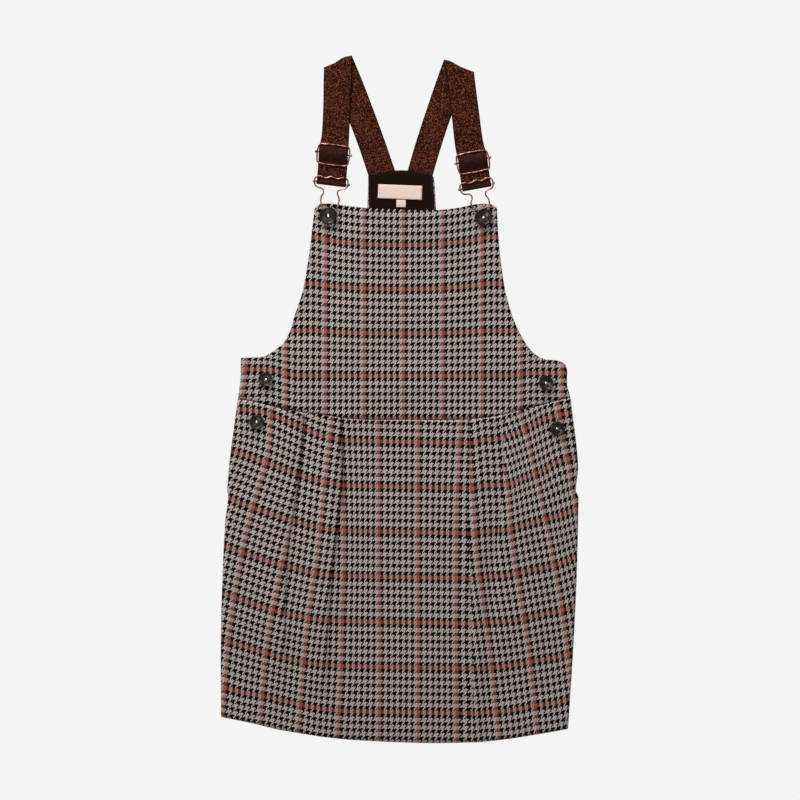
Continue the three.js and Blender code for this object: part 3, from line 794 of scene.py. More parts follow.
def pleat_corners(name, level, outward):
    """The corners of a pleat, from its outer side inwards."""
    line = at_level(pleats[name], "line", level)
    tuck = at_level(pleats[name], "tuck", level)
    back = line + outward * tuck
    height = lerp(PLEAT_STACK, OPEN_PLEAT_HEIGHT, smoothstep(-tuck, CLOTH, OPEN_PLEAT_TUCK))
    ease = np.clip(tuck / 3, 0, REST)
    outer = outward * np.maximum(outward * line, outward * back) + outward * REST
    low = np.where(tuck > 0, line, back)
    flat = np.zeros_like(line)
    folded = [
        (line, height), (line, height / 2), (line + outward * ease, height / 2),
        (back - outward * ease, height / 2), (back, height / 2), (back, flat),
        (low + outward * ease, flat),
    ]
    openness = smoothstep(-tuck, 0, REST)
    slope = []
    for (x, z), share in zip(folded, np.linspace(0, 1, len(folded))):
        slope.append((
            lerp(x, lerp(line, back, share), openness),
            lerp(z, height * (1 - smoothstep(share, 0, 1)), openness),
        ))
    return [(outer, height), *slope, (low - outward * REST, flat)]


CREST_CORNER, BACK_CORNER, LOW_CORNER = 1, 5, 7


def rounded(corners, steps=CORNER_STEPS):
    """The polygon's smooth curve: a row of points for each corner but the first and the last."""
    points = [corners[0]]
    t = np.linspace(0, 1, steps, endpoint=False).reshape(-1, 1, 1)
    for before, here, after in zip(corners, corners[1:], corners[2:]):
        start, end = (before + here) / 2, (here + after) / 2
        points.extend((1 - t) ** 2 * start + 2 * t * (1 - t) * here + t ** 2 * end)
    points.append((corners[-2] + corners[-1]) / 2)
    points.append(corners[-1])
    return np.array(points)


def share_between(line, first, middle, last):
    """How far along the cloth its middle point lies, as a share of the way from first to last."""
    steps = np.hypot(*np.moveaxis(np.diff(line, axis=0), 1, 0))
    return steps[first:middle].sum(0) / steps[first:last].sum(0)


def side_slope(side, top):
    """Four corners on the gentle slope from a side seam up to the outer pleat."""
    return [(lerp(side, top[0], t), top[1] * t) for t in (0, 0.25, 0.5, 0.75)]


def skirt_lines_at(level):
    """The cloth's line at each level, its knots' places on it, and the repeats at those knots."""
    left = at_level(skirt_sides, "left", level)
    right = at_level(skirt_sides, "right", level)
    parts = [
        pleat_corners("outer_left", level, -1),
        pleat_corners("inner_left", level, -1),
        pleat_corners("inner_right", level, 1)[::-1],
        pleat_corners("outer_right", level, 1)[::-1],
    ]
    start, end = parts[1][-1], parts[2][0]
    middle = [(lerp(start[0], end[0], t), start[1]) for t in (0.2, 0.4, 0.6, 0.8)]
    corners = [*side_slope(left, parts[0][0])]
    knots = []
    for i, (name, part) in enumerate(zip(pleats, parts)):
        if i == 2:
            corners.extend(middle)
        first = len(corners)
        order = (CREST_CORNER, BACK_CORNER, LOW_CORNER)
        if i >= 2:
            order = [len(part) - 2 - n for n in reversed(order)]
        knots.append([name, *(first + n for n in order)])
        corners.extend(part)
    corners.extend(reversed(side_slope(right, parts[3][-1])))
    line = rounded([np.array(corner) for corner in corners])
    rows, repeats = [0], [at_level(side_repeats, "left", level)]
    for i, (name, *ends) in enumerate(knots):
        places = [1 + CORNER_STEPS * n for n in ends]
        values = [at_level(pleats[name], column, level) for column in ("crest", "low")]
        start, end = values if i < 2 else reversed(values)
        rows.extend(places)
        repeats.extend([start, lerp(start, end, share_between(line, *places)), end])
    return line, [*rows, len(line) - 1], [*repeats, at_level(side_repeats, "right", level)]


print("a folded pleat stands", PLEAT_STACK, "mm high")

# %% [markdown]
# The grid's columns are shared out between the folds, so that each fold has enough of them to bend
# round. Between two folds the columns are spread evenly along the cloth. The back of the skirt has
# no folds, so it is a plain flat grid between the same side seams. A laid skirt keeps some air
# inside: its front stands off the back in the middle, and sinks towards the sides, the hem and the
# lower corners.

# %% Lay the grid's columns along the cloth
RUN_COLUMNS = (26, 8, 8, 14, 8, 8, 50, 8, 8, 14, 8, 8, 26)
MIDDLE_RUN = 6
SKIRT_ROWS = 110
SKIRT_COLUMNS = sum(RUN_COLUMNS)

skirt_creases = table(
    "x top bottom width rise",
    (-142.0, -176.0, -268.0, 10.0, -0.9),
    (107.0, -205.0, -296.0, 13.0, -0.9),
    (137.0, -185.0, -294.0, 11.0, -0.8),
    (-92.0, -150.0, -300.0, 9.0, 0.5),
    (30.0, -120.0, -290.0, 22.0, 0.4),
    (-62.0, -20.0, -225.0, 9.0, 1.9),
    (-48.0, -20.0, -225.0, 8.0, -0.8),
    (70.0, -20.0, -215.0, 9.0, 0.9),
    (84.0, -20.0, -215.0, 7.0, -0.5),
)
HEM_FOLD = 33.0
HEM_STEP = 0.35
CREASE_FADE = 25.0


def crease_heights(x, y, creases):
    """Soft troughs and ridges that run down the cloth and fade at both ends."""
    total = np.zeros_like(x)
    for x0, top, bottom, width, rise in zip(*creases.values()):
        across = np.exp(-(((x - x0) / width) ** 2))
        fade = smoothstep(top - y, 0, CREASE_FADE) * smoothstep(y - bottom, 0, CREASE_FADE)
        total += rise * across * fade
    return total


def skirt_front_rows():
    """The level of every row, and x, y, z and the repeats across and down of its columns."""
    level = np.linspace(0, 1, SKIRT_ROWS + 1)
    line, knot_rows, knot_repeats = skirt_lines_at(level)
    rows = []
    for r in range(len(level)):
        parts = []
        for i, columns in enumerate(RUN_COLUMNS):
            run = slice(knot_rows[i], knot_rows[i + 1] + 1)
            px, pz = line[run, 0, r], line[run, 1, r]
            places = np.concatenate([[0], np.cumsum(np.hypot(np.diff(px), np.diff(pz)))])
            even = np.linspace(0, places[-1], columns + 1)
            if i > 0:
                even = even[1:]
            first, last = knot_repeats[i][r], knot_repeats[i + 1][r]
            x = np.interp(even, places, px)
            repeats = lerp(first, last, even / places[-1])
            if i == MIDDLE_RUN:
                lines = [at_level(skirt_lines, name, level[r]) for name in ("four", "five", "six")]
                repeats = np.interp(x, [px[0], *lines, px[-1]], [first, 4, 5, 6, last])
            elif i == len(RUN_COLUMNS) - 1:
                near = at_level(side_repeats, "near_right", level[r])
                repeats = np.interp(x, [px[0], NEAR_RIGHT, px[-1]], [first, near, last])
            parts.append(np.column_stack([x, np.interp(even, places, pz), repeats]))
        x, z, across = np.concatenate(parts).T
        y = lerp(seam_at(x) - SEAM_GAP / 2, hem_at(x), level[r])
        rows.append([x, y, z, across, skirt_repeats_down(x, y, level[r])])
    return level, np.array(rows)


skirt_levels, skirt_rows = skirt_front_rows()


def skirt_front_shape(u, v):
    column = np.round(u * SKIRT_COLUMNS).astype(int)
    row = np.round(v * SKIRT_ROWS).astype(int)
    level = skirt_levels[row]
    x, y, fold, repeats_across, repeats_down = skirt_rows[row, :, column].T
    left = at_level(skirt_sides, "left", level)
    right = at_level(skirt_sides, "right", level)
    half, centre = (right - left) / 2, (right + left) / 2
    aside = np.abs(x - centre) / half
    to_corner = smoothstep(aside, 0.2, 0.7) * smoothstep(level, 0.64, 0.95)
    belly = smoothstep(level, 0, 0.4) * (1 - level ** 8) * np.maximum(0, 1 - aside ** 4)
    loft = SKIRT_LOFT * belly * (1 - to_corner)
    z = SKIRT_MIDDLE + fold + loft + crease_heights(x, y, skirt_creases)
    z += HEM_STEP * smoothstep(HEM_FOLD - (y - hem_at(x)), 0, 2.5)
    z -= rounded_edge(np.minimum(x - left, right - x), 0.8, 4.0)
    z -= rounded_edge(y - hem_at(x), 0.4, 1.8)
    return x + side_dent(x, y, left, right), y, z, repeats_across, repeats_down


skirt_front = grid_piece("front_of_skirt", SKIRT_COLUMNS, SKIRT_ROWS, skirt_front_shape)
thicken(skirt_front, CLOTH - 0.1)


def skirt_back_shape(u, v):
    left = at_level(skirt_sides, "left", v)
    right = at_level(skirt_sides, "right", v)
    x = lerp(left, right, u)
    y = lerp(seam_at(x) + BACK_SEAM_ABOVE - SEAM_GAP / 2, hem_at(x), v)
    z = np.full_like(x, CLOTH / 2)
    x = x + side_dent(x, y, left, right)
    return x, y, z, *back_cloth_places(x, y, BACK_SKIRT_LINE_Y)


skirt_back = thicken(grid_piece("back_of_skirt", 60, 60, skirt_back_shape), CLOTH - 0.05)
finish_piece(skirt_back, ["skirt_back"], shaded_back_cloth)
finish_piece(skirt_front, ["skirt_front"], front_cloth)
declare_cloth(skirt_back)
declare_cloth(skirt_front)

# %% [markdown]
# ## The front of the bodice
# One piece of cloth makes the bib and the waist. It lies over the back and the facing, dips to the
# floor where its armholes pass the back's edge, and rises a little over the pleats that are
# gathered in the seam. Its turned edges are rounded, so they catch the light. The pairs of numbers
# are the two ends of a soft ramp, in millimetres.

# %% Make the front of the bodice
LINING = 1.0
FACING_UNDER = CLOTH + GAP
FACING_TOP = FACING_UNDER + LINING
BIB_OVER_FACING = FACING_TOP + GAP
NEARBY = 2.0
PAST_BACK = (7, 22)
PAST_YOKE_SIDE = (34, 46)
UP_TO_FACING = (150, 164)
PLEAT_REACH = 13
SEAM_REACH = 16

bib_creases = table(
    "x y turn length width rise",
    (-31.0, 43.0, 17.0, 17.0, 2.6, 0.35),
    (43.0, 47.0, -36.0, 20.0, 2.6, 0.35),
    (60.0, 64.0, 90.0, 15.0, 2.4, 0.3),
    (-20.0, 110.0, 80.0, 60.0, 16.0, 0.3),
    (45.0, 95.0, 100.0, 60.0, 14.0, 0.3),
    (-105.0, 20.0, 20.0, 26.0, 8.0, 0.4),
    (112.0, 18.0, -20.0, 26.0, 8.0, 0.4),
    (14.0, 14.0, 0.0, 42.0, 13.0, 1.2),
)


def leaning_creases(x, y, creases):
    """Soft creases that lie at any angle."""
    total = np.zeros_like(x)
    for x0, y0, turn, length, width, rise in zip(*creases.values()):
        angle = math.radians(turn)
        along = (x - x0) * math.cos(angle) + (y - y0) * math.sin(angle)
        aside = (y - y0) * math.cos(angle) - (x - x0) * math.sin(angle)
        total += rise * np.exp(-((along / length) ** 2) - ((aside / width) ** 2))
    return total


def bodice_under(x, y):
    """The height of the bodice's under side."""
    spread = (back_half(y - NEARBY) - back_half(y + NEARBY)) / (2 * NEARBY)
    past_armhole = (np.abs(x - BACK_MIDDLE) - back_half(y)) / np.hypot(1, spread)
    past_back = np.minimum(past_armhole, y - SIDE_TOP_HEIGHT)
    over_back = FRONT_UNDER * (1 - smoothstep(past_back, *PAST_BACK))
    over_yoke = 1 - smoothstep(np.abs(x - BACK_MIDDLE), *PAST_YOKE_SIDE)
    over_facing = over_yoke * smoothstep(y, *UP_TO_FACING) * (BIB_OVER_FACING - FRONT_UNDER)
    lines = [rows["line"][0] for rows in pleats.values()]
    over_pleats = np.max([np.exp(-(((x - line) / PLEAT_REACH) ** 2)) for line in lines], axis=0)
    near_seam = 1 - smoothstep(y - seam_at(x), 0, SEAM_REACH)
    return over_back + over_facing + PLEAT_STACK / 2 * near_seam * over_pleats


bodice_edges = {
    "top": smooth_line(bib_top),
    "left": np.concatenate([smooth_line(t) for t in (left_armhole, left_side_top, left_side)]),
    "right": np.concatenate([smooth_line(t) for t in (right_armhole, right_side_top, right_side)]),
}
bodice_surface = between(
    edge((1, bodice_edges["top"])),
    edge((1, seam_line(SEAM_GAP / 2))),
    edge(
        (0.72, smooth_line(left_armhole)), (0.8, smooth_line(left_side_top)),
        (1, smooth_line(left_side)),
    ),
    edge(
        (0.72, smooth_line(right_armhole)), (0.84, smooth_line(right_side_top)),
        (1, smooth_line(right_side)),
    ),
)


def bodice_front_shape(u, v):
    x, y = bodice_surface(u, v)
    z = bodice_under(x, y) + CLOTH / 2 + leaning_creases(x, y, bib_creases)
    to_edge = np.min([distance_to(x, y, line) for line in bodice_edges.values()], axis=0)
    z -= rounded_edge(to_edge, 0.6, 2.4)
    z -= rounded_edge(y - seam_at(x), 1.3, 3.4)
    return x, y, np.maximum(z, CLOTH / 2), *bib_cloth(x, y)


bodice_front = thicken(grid_piece("front_of_bodice", 130, 100, bodice_front_shape), CLOTH - 0.1)
finish_piece(bodice_front, ["bodice_front"], front_cloth)
declare_cloth(bodice_front)

# %% [markdown]
# ## The facing and its labels
# Inside the yoke a black facing covers the raw edges, and shows above the bib. It stops short of
# the yoke's sides, so a narrow line of houndstooth is left. Its Cloth map counts centimetres. A
# woven label and a little tab under it are sewn on at their short ends.

# %% Make the facing
FACING_UNIT = 10.0
facing_lines = {
    "top": table("x y", (-29.9, 213.0), (-4.2, 217.6), (7.8, 217.6), (31.4, 213.0)),
    "left": table("x y", (-29.9, 213.0), (-29.8, 204.0), (-29.2, 188.0), (-29.0, 169.0)),
    "right": table("x y", (31.4, 213.0), (31.5, 206.0), (32.8, 188.0), (33.2, 169.0)),
    "bottom": table("x y", (-29.0, 169.0), (33.2, 169.0)),
}
facing_edges = {name: smooth_line(line) for name, line in facing_lines.items()}
facing_surface = between(
    *(edge((1, facing_edges[name])) for name in ("top", "bottom", "left", "right"))
)


def facing_shape(u, v):
    x, y = facing_surface(u, v)
    to_edge = np.min([distance_to(x, y, line) for line in facing_edges.values()], axis=0)
    z = FACING_UNDER + LINING / 2 - rounded_edge(to_edge, 0.3, 1.8)
    return x, y, z, x / FACING_UNIT, -y / FACING_UNIT


facing_material, tree, shader = new_material(
    "black facing", Sheen_Weight=0.01, Specular_IOR_Level=0.05
)
facing_map = place_node(tree, "ShaderNodeUVMap", uv_map="Cloth").outputs[0]
ribs = place_node(
    tree, "ShaderNodeTexWave", {"Vector": facing_map, "Scale": 7.0, "Distortion": 0.6},
    bands_direction="DIAGONAL",
).outputs["Fac"]
lint = noise(tree, facing_map, 14.0, 4.0, 0.7)
facing_colour = mix_colours(tree, lint, colour(6, 2, 1), colour(40, 22, 15))
facing_bump = place_node(
    tree, "ShaderNodeBump", {"Height": calc(tree, "ADD", ribs, lint), "Distance": 0.12 * MM}
)
tree.links.new(facing_colour, shader.inputs["Base Color"])
tree.links.new(calc(tree, "MULTIPLY_ADD", lint, 0.2, 0.75), shader.inputs["Roughness"])
tree.links.new(facing_bump.outputs[0], shader.inputs["Normal"])

facing = thicken(grid_piece("facing_of_yoke", 40, 30, facing_shape), LINING - 0.05)
finish_piece(facing, ["yoke_facing"], facing_material)
print(facing.name, "has", len(facing.data.polygons), "faces")

# %% [markdown]
# The labels are satin tape. Fine ribs across the tape come from the weave, and the tape lies flat
# at its ends.

# %% Make the labels
LABEL_UNDER = FACING_TOP + GAP
TAPE = 0.5
TAPE_MIDDLE = 0.35
TAPE_FULLNESS = 0.25
TAPE_TOP = LABEL_UNDER + 0.7
TAPE_RIB = 0.35
TAPE_ROW = 0.28
labels = {
    "main": {"x": 0.3, "y": 197.0, "width": 41.8, "height": 13.2, "turn": -2.2},
    "size": {"x": 1.2, "y": 186.1, "width": 8.9, "height": 6.9, "turn": -1.0},
}


def satin_tape():
    """The labels' material, ribbed along the tape."""
    material, tree, shader = new_material("satin tape", Specular_IOR_Level=0.45)
    place = place_node(tree, "ShaderNodeUVMap", uv_map="Cloth").outputs[0]
    parts = place_node(tree, "ShaderNodeSeparateXYZ", {0: place}).outputs
    rib = calc(tree, "SINE", calc(tree, "MULTIPLY", parts[1], 2 * math.pi / TAPE_RIB))
    rows = calc(tree, "SINE", calc(tree, "MULTIPLY", parts[0], 2 * math.pi / TAPE_ROW))
    weave_height = calc(tree, "ADD", rib, calc(tree, "MULTIPLY", rows, 0.6))
    soil = noise(tree, place, 0.25, 3.0)
    tint = mix_colours(tree, soil, colour(246, 222, 208), colour(232, 201, 186))
    bump = place_node(tree, "ShaderNodeBump", {"Height": weave_height, "Distance": 0.03 * MM})
    tree.links.new(tint, shader.inputs["Base Color"])
    tree.links.new(calc(tree, "MULTIPLY_ADD", soil, 0.2, 0.4), shader.inputs["Roughness"])
    tree.links.new(bump.outputs[0], shader.inputs["Normal"])
    return material


tape = satin_tape()


def label_piece(name, x, y, width, height, turn):
    """A strip of tape, a little fuller in its middle and flat at its ends."""
    def shape(u, v):
        across, down = (u - 0.5) * width, (0.5 - v) * height
        angle = math.radians(turn)
        end = width / 2 - np.abs(across)
        side = height / 2 - np.abs(down)
        fullness = TAPE_FULLNESS * smoothstep(end, 0, 2.5) * smoothstep(side, 0, 1.2)
        px = x + across * math.cos(angle) - down * math.sin(angle)
        py = y + across * math.sin(angle) + down * math.cos(angle)
        return px, py, LABEL_UNDER + TAPE_MIDDLE + fullness, across, down

    return thicken(grid_piece(name, 36, 18, shape), TAPE)


for name, values in labels.items():
    piece = label_piece(f"tape_{name}", **values)
    finish_piece(piece, [f"label_{name}"], tape)
declare_cloth(
    facing, FACING_UNIT, FACING_UNIT
)

# %% [markdown]
# A row of short stitches holds each end of a label, and a row of black ones runs round the edge of
# the facing. On a real dress a stitch is a bit of thread that dives into the cloth at both ends. A
# bump could suggest it, but real bits of thread catch the light and also show in a close view. So
# each one is a short cylinder that is sunk a little into the cloth.

# %% Sew the stitches
THREAD = 0.42
THREAD_SIDES = 6
STITCH = 1.9
STITCH_PITCH = 2.6
STITCH_IN = 1.3
STITCH_SINK = 0.12


def stitch_rows(name, rows, material):
    """Stitches along rows, each given as its start, its end and the height of the cloth."""
    bm = bmesh.new()
    thread_turn = Matrix.Rotation(math.pi / 2, 4, "Y")
    for start, end, height in rows:
        run = np.subtract(end, start)
        length = float(np.hypot(*run))
        count = max(round(length / STITCH_PITCH), 1)
        turn = Matrix.Rotation(math.atan2(run[1], run[0]), 4, "Z")
        for i in range(count):
            x, y = np.add(start, run * (i + 0.5) / count)
            made = bmesh.ops.create_cone(
                bm, cap_ends=True, segments=THREAD_SIDES, radius1=THREAD / 2 * MM,
                radius2=THREAD / 2 * MM, depth=STITCH * MM,
            )["verts"]
            bmesh.ops.transform(bm, matrix=turn @ thread_turn, verts=made)
            place = Vector((x, y, height + THREAD / 2 - STITCH_SINK)) * MM
            bmesh.ops.translate(bm, verts=made, vec=place)
    bmesh.ops.recalc_face_normals(bm, faces=bm.faces[:])
    mesh = bpy.data.meshes.new(name)
    bm.to_mesh(mesh)
    bm.free()
    print(name, "has", len(mesh.polygons) // (THREAD_SIDES + 2), "stitches")
    return finish_piece(bpy.data.objects.new(name, mesh), [], material)


def sewing_thread(name, dark, light):
    """Twisted thread: two tones that wind round it, with a soft shine."""
    material, tree, shader = new_material(name, Specular_IOR_Level=0.3)
    place = place_node(tree, "ShaderNodeTexCoord").outputs["Object"]
    twist = place_node(
        tree, "ShaderNodeTexWave", {"Vector": place, "Scale": 900.0}, bands_direction="DIAGONAL"
    ).outputs["Fac"]
    fuzz = noise(tree, place, 3000.0)
    bump = place_node(tree, "ShaderNodeBump", {"Height": twist, "Distance": 0.05 * MM})
    tree.links.new(mix_colours(tree, twist, dark, light), shader.inputs["Base Color"])
    tree.links.new(calc(tree, "MULTIPLY_ADD", fuzz, 0.3, 0.4), shader.inputs["Roughness"])
    tree.links.new(bump.outputs[0], shader.inputs["Normal"])
    return material


def label_ends(x, y, width, height, turn):
    """The two rows of stitches of a label."""
    angle = math.radians(turn)
    along = np.array([math.cos(angle), math.sin(angle)]) * (width / 2 - STITCH_IN)
    aside = np.array([-math.sin(angle), math.cos(angle)]) * (height / 2 - STITCH_IN / 2)
    ends = [np.array([x, y]) + side * along for side in (-1, 1)]
    return [(end - aside, end + aside, TAPE_TOP) for end in ends]


def facing_rows():
    """Rows of stitches just inside the facing's sides and its top."""
    left, right, top = (facing_lines[side] for side in ("left", "right", "top"))
    inner = [(x + STITCH_IN, y) for x, y in zip(left["x"][::-1], left["y"][::-1])]
    inner += [(x, y - 2 * STITCH_IN) for x, y in zip(top["x"][1:-1], top["y"][1:-1])]
    inner += [(x - STITCH_IN, y) for x, y in zip(right["x"], right["y"])]
    return [(start, end, FACING_TOP) for start, end in zip(inner, inner[1:])]


white_thread = sewing_thread("pale thread", colour(222, 196, 182), colour(250, 236, 226))
black_thread = sewing_thread("black thread", colour(8, 5, 4), colour(46, 34, 28))
stitch_rows(
    "label_stitches", [row for values in labels.values() for row in label_ends(**values)],
    white_thread,
)
stitch_rows("facing_stitches", facing_rows(), black_thread)

# %% [markdown]
# ## The elastic straps
# Each strap is one length of wide elastic. It leaves the yoke, folds over at the shoulder, comes
# down the front, weaves through the slider, turns round the clip's bar and ends behind. The table
# gives the left edge a and the right edge b of the strap along that way, and the height z of its
# middle. Where it turns over, the last column holds the height of the centre that it swings round,
# and elsewhere that column holds NONE.

# %% The way of each strap
ELASTIC = 1.5
STRAP_HALF_WIDTH = 13.2
LAYERED_HALF_WIDTH = 13.9
STRAP_COLUMNS = "ax ay bx by z turn"
NONE = float("nan")
strap_ways = {
    "left": table(
        STRAP_COLUMNS,
        (-29.2, 211.0, -4.1, 216.7, 0.75, NONE), (-39.2, 241.3, -13.6, 244.8, 0.75, NONE),
        (-50.8, 271.4, -25.2, 276.2, 0.75, NONE), (-62.8, 301.0, -36.4, 305.6, 0.75, NONE),
        (-71.9, 314.3, -45.0, 325.4, 0.75, 1.65), (-72.4, 303.0, -45.4, 311.0, 2.55, NONE),
        (-72.6, 276.0, -47.0, 276.0, 2.55, NONE), (-74.0, 250.0, -48.2, 247.5, 2.55, NONE),
    ),
    "right": table(
        STRAP_COLUMNS,
        (7.2, 216.7, 31.0, 212.0, 0.75, NONE), (15.6, 246.0, 39.6, 241.6, 0.75, NONE),
        (25.7, 276.6, 49.9, 272.4, 0.75, NONE), (35.0, 304.0, 60.2, 299.4, 0.75, NONE),
        (41.6, 321.3, 70.6, 310.1, 0.75, 1.65), (45.0, 305.0, 72.2, 297.0, 2.55, NONE),
        (48.4, 279.0, 75.1, 275.0, 2.55, NONE), (52.4, 240.0, 79.0, 244.4, 2.55, NONE),
    ),
}
buckles = {
    "left": {"x": -62.9, "y": 233.5, "clip_x": -65.0, "clip_y": 205.6, "turn": -7.0,
             "lean": -4.7, "reach": 31.4},
    "right": {"x": 69.3, "y": 226.7, "clip_x": 73.0, "clip_y": 202.3, "turn": 10.3,
              "lean": 12.4, "reach": 30.1},
}
through_slider = table("below z", (-6.2, 2.5), (-2.4, 6.45), (2.2, 6.45), (8.6, 2.5))
CLIP_BAR_HEIGHT = 2.7
round_clip = table(
    "above z turn", (3.6, 2.5, NONE), (0.0, 4.65, CLIP_BAR_HEIGHT), (3.2, 0.75, NONE)
)
END_BELOW_SLIDER = 1.5


def buckle_way(x, y, clip_x, clip_y, turn, **_):
    """The strap's way through one buckle, as rows like those of the tables."""
    distance = math.hypot(clip_x - x, clip_y - y)
    across_x = LAYERED_HALF_WIDTH * math.cos(math.radians(turn))
    across_y = LAYERED_HALF_WIDTH * math.sin(math.radians(turn))

    def row(below, z, swing):
        mid_x = lerp(x, clip_x, below / distance)
        mid_y = lerp(y, clip_y, below / distance)
        return (mid_x - across_x, mid_y - across_y, mid_x + across_x, mid_y + across_y, z, swing)

    rows = [row(below, z, NONE) for below, z in zip(*through_slider.values())]
    rows += [row(distance - above, z, swing) for above, z, swing in zip(*round_clip.values())]
    rows.append(row(END_BELOW_SLIDER, ELASTIC / 2, NONE))
    return rows


def strap_stations(side):
    """The strap's two edges as corners in space, with each turn drawn as half a circle."""
    rows = list(zip(*strap_ways[side].values())) + buckle_way(**buckles[side])
    stations = []
    for ax, ay, bx, by, z, turn in rows:
        edges = np.array([[ax, ay, z], [bx, by, z]])
        if math.isnan(turn):
            stations.append(edges)
            continue
        across = edges[1] - edges[0]
        ahead = np.array([-across[1], across[0], 0]) / np.linalg.norm(across)
        going = edges.sum(0) - stations[-1].sum(0)
        ahead = ahead * np.sign(ahead @ going)
        for angle in np.linspace(0, math.pi, 5):
            out = ahead * abs(turn - z) * math.sin(angle)
            out[2] = turn + (z - turn) * math.cos(angle) - z
            stations.append(edges + out)
    return stations


for side in strap_ways:
    print(side, "strap:", len(strap_stations(side)), "places on its way")

# %% [markdown]
# The strap's grid runs along that way, with its corners rounded off as those of the pleats were.
# At the shoulder the folded elastic bulges a little. The pair for each side tells where across the
# strap the bulge lies, and how far it rises.

# %% A helper that makes a strap
FOLD_BULGES = {"left": (0.72, 1.9), "right": (0.2, 1.7)}
FOLD_REACH = 9.0
FOLD_SHARE = 0.22
STRAP_STEP = 1.2
COLUMNS_ACROSS_STRAP = 16
CORNER_POINTS = 6


def strap_piece(side):
    """A strap as a grid. Its Cloth map counts millimetres across, and along from the slider."""
    line = rounded(strap_stations(side), CORNER_POINTS)
    middle = line.mean(1)
    places = np.concatenate([[0], np.cumsum(np.linalg.norm(np.diff(middle, axis=0), axis=1))])
    at_slider = places[np.argmax(middle[:, 2])]
    rows = round(places[-1] / STRAP_STEP)
    even = np.linspace(0, places[-1], rows + 1)
    flat_line = line.reshape(len(line), -1)
    edges = np.column_stack([np.interp(even, places, column) for column in flat_line.T])
    middle_rows = np.column_stack([np.interp(even, places, column) for column in middle.T])
    fold = np.argmax(middle_rows[:, 1])
    bulge_at, bulge = FOLD_BULGES[side]

    def shape(u, v):
        row = np.round(v * rows).astype(int)
        first, second = edges[row, :3], edges[row, 3:]
        place = lerp(first, second, u[:, None])
        near_fold = np.exp(-(((even[row] - even[fold]) / FOLD_REACH) ** 2))
        place[:, 1] += bulge * near_fold * np.exp(-(((u - bulge_at) / FOLD_SHARE) ** 2))
        return *place.T, (u - 0.5) * 2 * STRAP_HALF_WIDTH, even[row] - at_slider

    grid = grid_piece(f"elastic_{side}", COLUMNS_ACROSS_STRAP, rows, shape)
    piece = thicken(grid, ELASTIC - 0.1)
    print(piece.name, "is", round(places[-1]), "mm long")
    return piece


print("a strap's grid has a row every", STRAP_STEP, "mm")

# %% [markdown]
# The elastic is a dark brown web. Copper yarn is woven through its face, and its flat facets flash
# where they face the light. The flecks are cells of a Voronoi texture, each with its own
# brightness, and the brightest ones are metallic. Inside the slider, and from round the clip's bar
# to the end, the flecks fade to a fifth and the web takes one plain brown.

# %% The elastic's material
PLAIN_IN_SLIDER = (-7.4, 9.6)
PLAIN_FROM = 21.5
WEB_RIB = 1.1
WEB_PICK = 0.8
PLAIN_EDGE = (11.9, 12.5)


def elastic_material():
    """A ribbed web with copper flecks, plain inside the slider and from the clip's bar on."""
    material, tree, shader = new_material("glitter elastic", Specular_IOR_Level=0.07)
    place = place_node(tree, "ShaderNodeUVMap", uv_map="Cloth").outputs[0]
    parts = place_node(tree, "ShaderNodeSeparateXYZ", {0: place}).outputs
    cells = place_node(tree, "ShaderNodeTexVoronoi", {"Vector": place, "Scale": 1.5})
    spark = place_node(tree, "ShaderNodeSeparateColor", {0: cells.outputs["Color"]}).outputs
    inputs = {0: spark[0], 1: 0.66, 2: 1.0, 3: 0.0, 4: 1.0}
    glitter = place_node(tree, "ShaderNodeMapRange", inputs).outputs[0]
    ribs = calc(tree, "SINE", calc(tree, "MULTIPLY", parts[0], 2 * math.pi / WEB_RIB))
    picks = calc(tree, "SINE", calc(tree, "MULTIPLY", parts[1], 2 * math.pi / WEB_PICK))
    web = calc(tree, "ADD", ribs, calc(tree, "MULTIPLY", picks, 0.6))
    aside = calc(tree, "ABSOLUTE", parts[0])
    inputs = {0: aside, 1: PLAIN_EDGE[0], 2: PLAIN_EDGE[1], 3: 1.0, 4: 0.1}
    away_from_edge = place_node(tree, "ShaderNodeMapRange", inputs).outputs[0]
    in_slider = calc(
        tree, "COMPARE", parts[1], sum(PLAIN_IN_SLIDER) / 2,
        (PLAIN_IN_SLIDER[1] - PLAIN_IN_SLIDER[0]) / 2,
    )
    plain = calc(tree, "MAXIMUM", in_slider, calc(tree, "GREATER_THAN", parts[1], PLAIN_FROM))
    shows = calc(tree, "MULTIPLY_ADD", plain, -0.8, 1.0)
    glitter = calc(tree, "MULTIPLY", calc(tree, "MULTIPLY", glitter, away_from_edge), shows)
    face = mix_colours(tree, spark[1], colour(11, 4, 2), colour(46, 18, 9))
    base = mix_colours(tree, plain, face, colour(43, 18, 11))
    flecked = mix_colours(tree, glitter, base, colour(148, 75, 45))
    bump_height = calc(tree, "ADD", web, calc(tree, "MULTIPLY", spark[2], 1.2))
    bump = place_node(
        tree, "ShaderNodeBump", {"Height": bump_height, "Strength": 0.7, "Distance": 0.12 * MM}
    )
    tree.links.new(flecked, shader.inputs["Base Color"])
    tree.links.new(calc(tree, "MULTIPLY", glitter, 0.5), shader.inputs["Metallic"])
    tree.links.new(calc(tree, "MULTIPLY_ADD", glitter, -0.3, 0.75), shader.inputs["Roughness"])
    tree.links.new(bump.outputs[0], shader.inputs["Normal"])
    return material


elastic = elastic_material()
for side in ("left", "right"):
    piece = finish_piece(strap_piece(side), [f"strap_{side}"], elastic)
    declare_cloth(piece, 1.0, 1.0)

# %% [markdown]
# ## The copper buckles
# Each buckle is bent from round wire with a rose-gold plating: a slider that sets the strap's
# length, a bar that the strap hangs from, and a clip that hooks over the bib's button. A wire is a
# curve through the bends with a round bevel, turned into a mesh. The bars have a knob at each end,
# so they are spun like turned metal. The table gives half of the clip's wire: how far it lies
# across from its middle line, along that line, and below its top as a share of the drop.

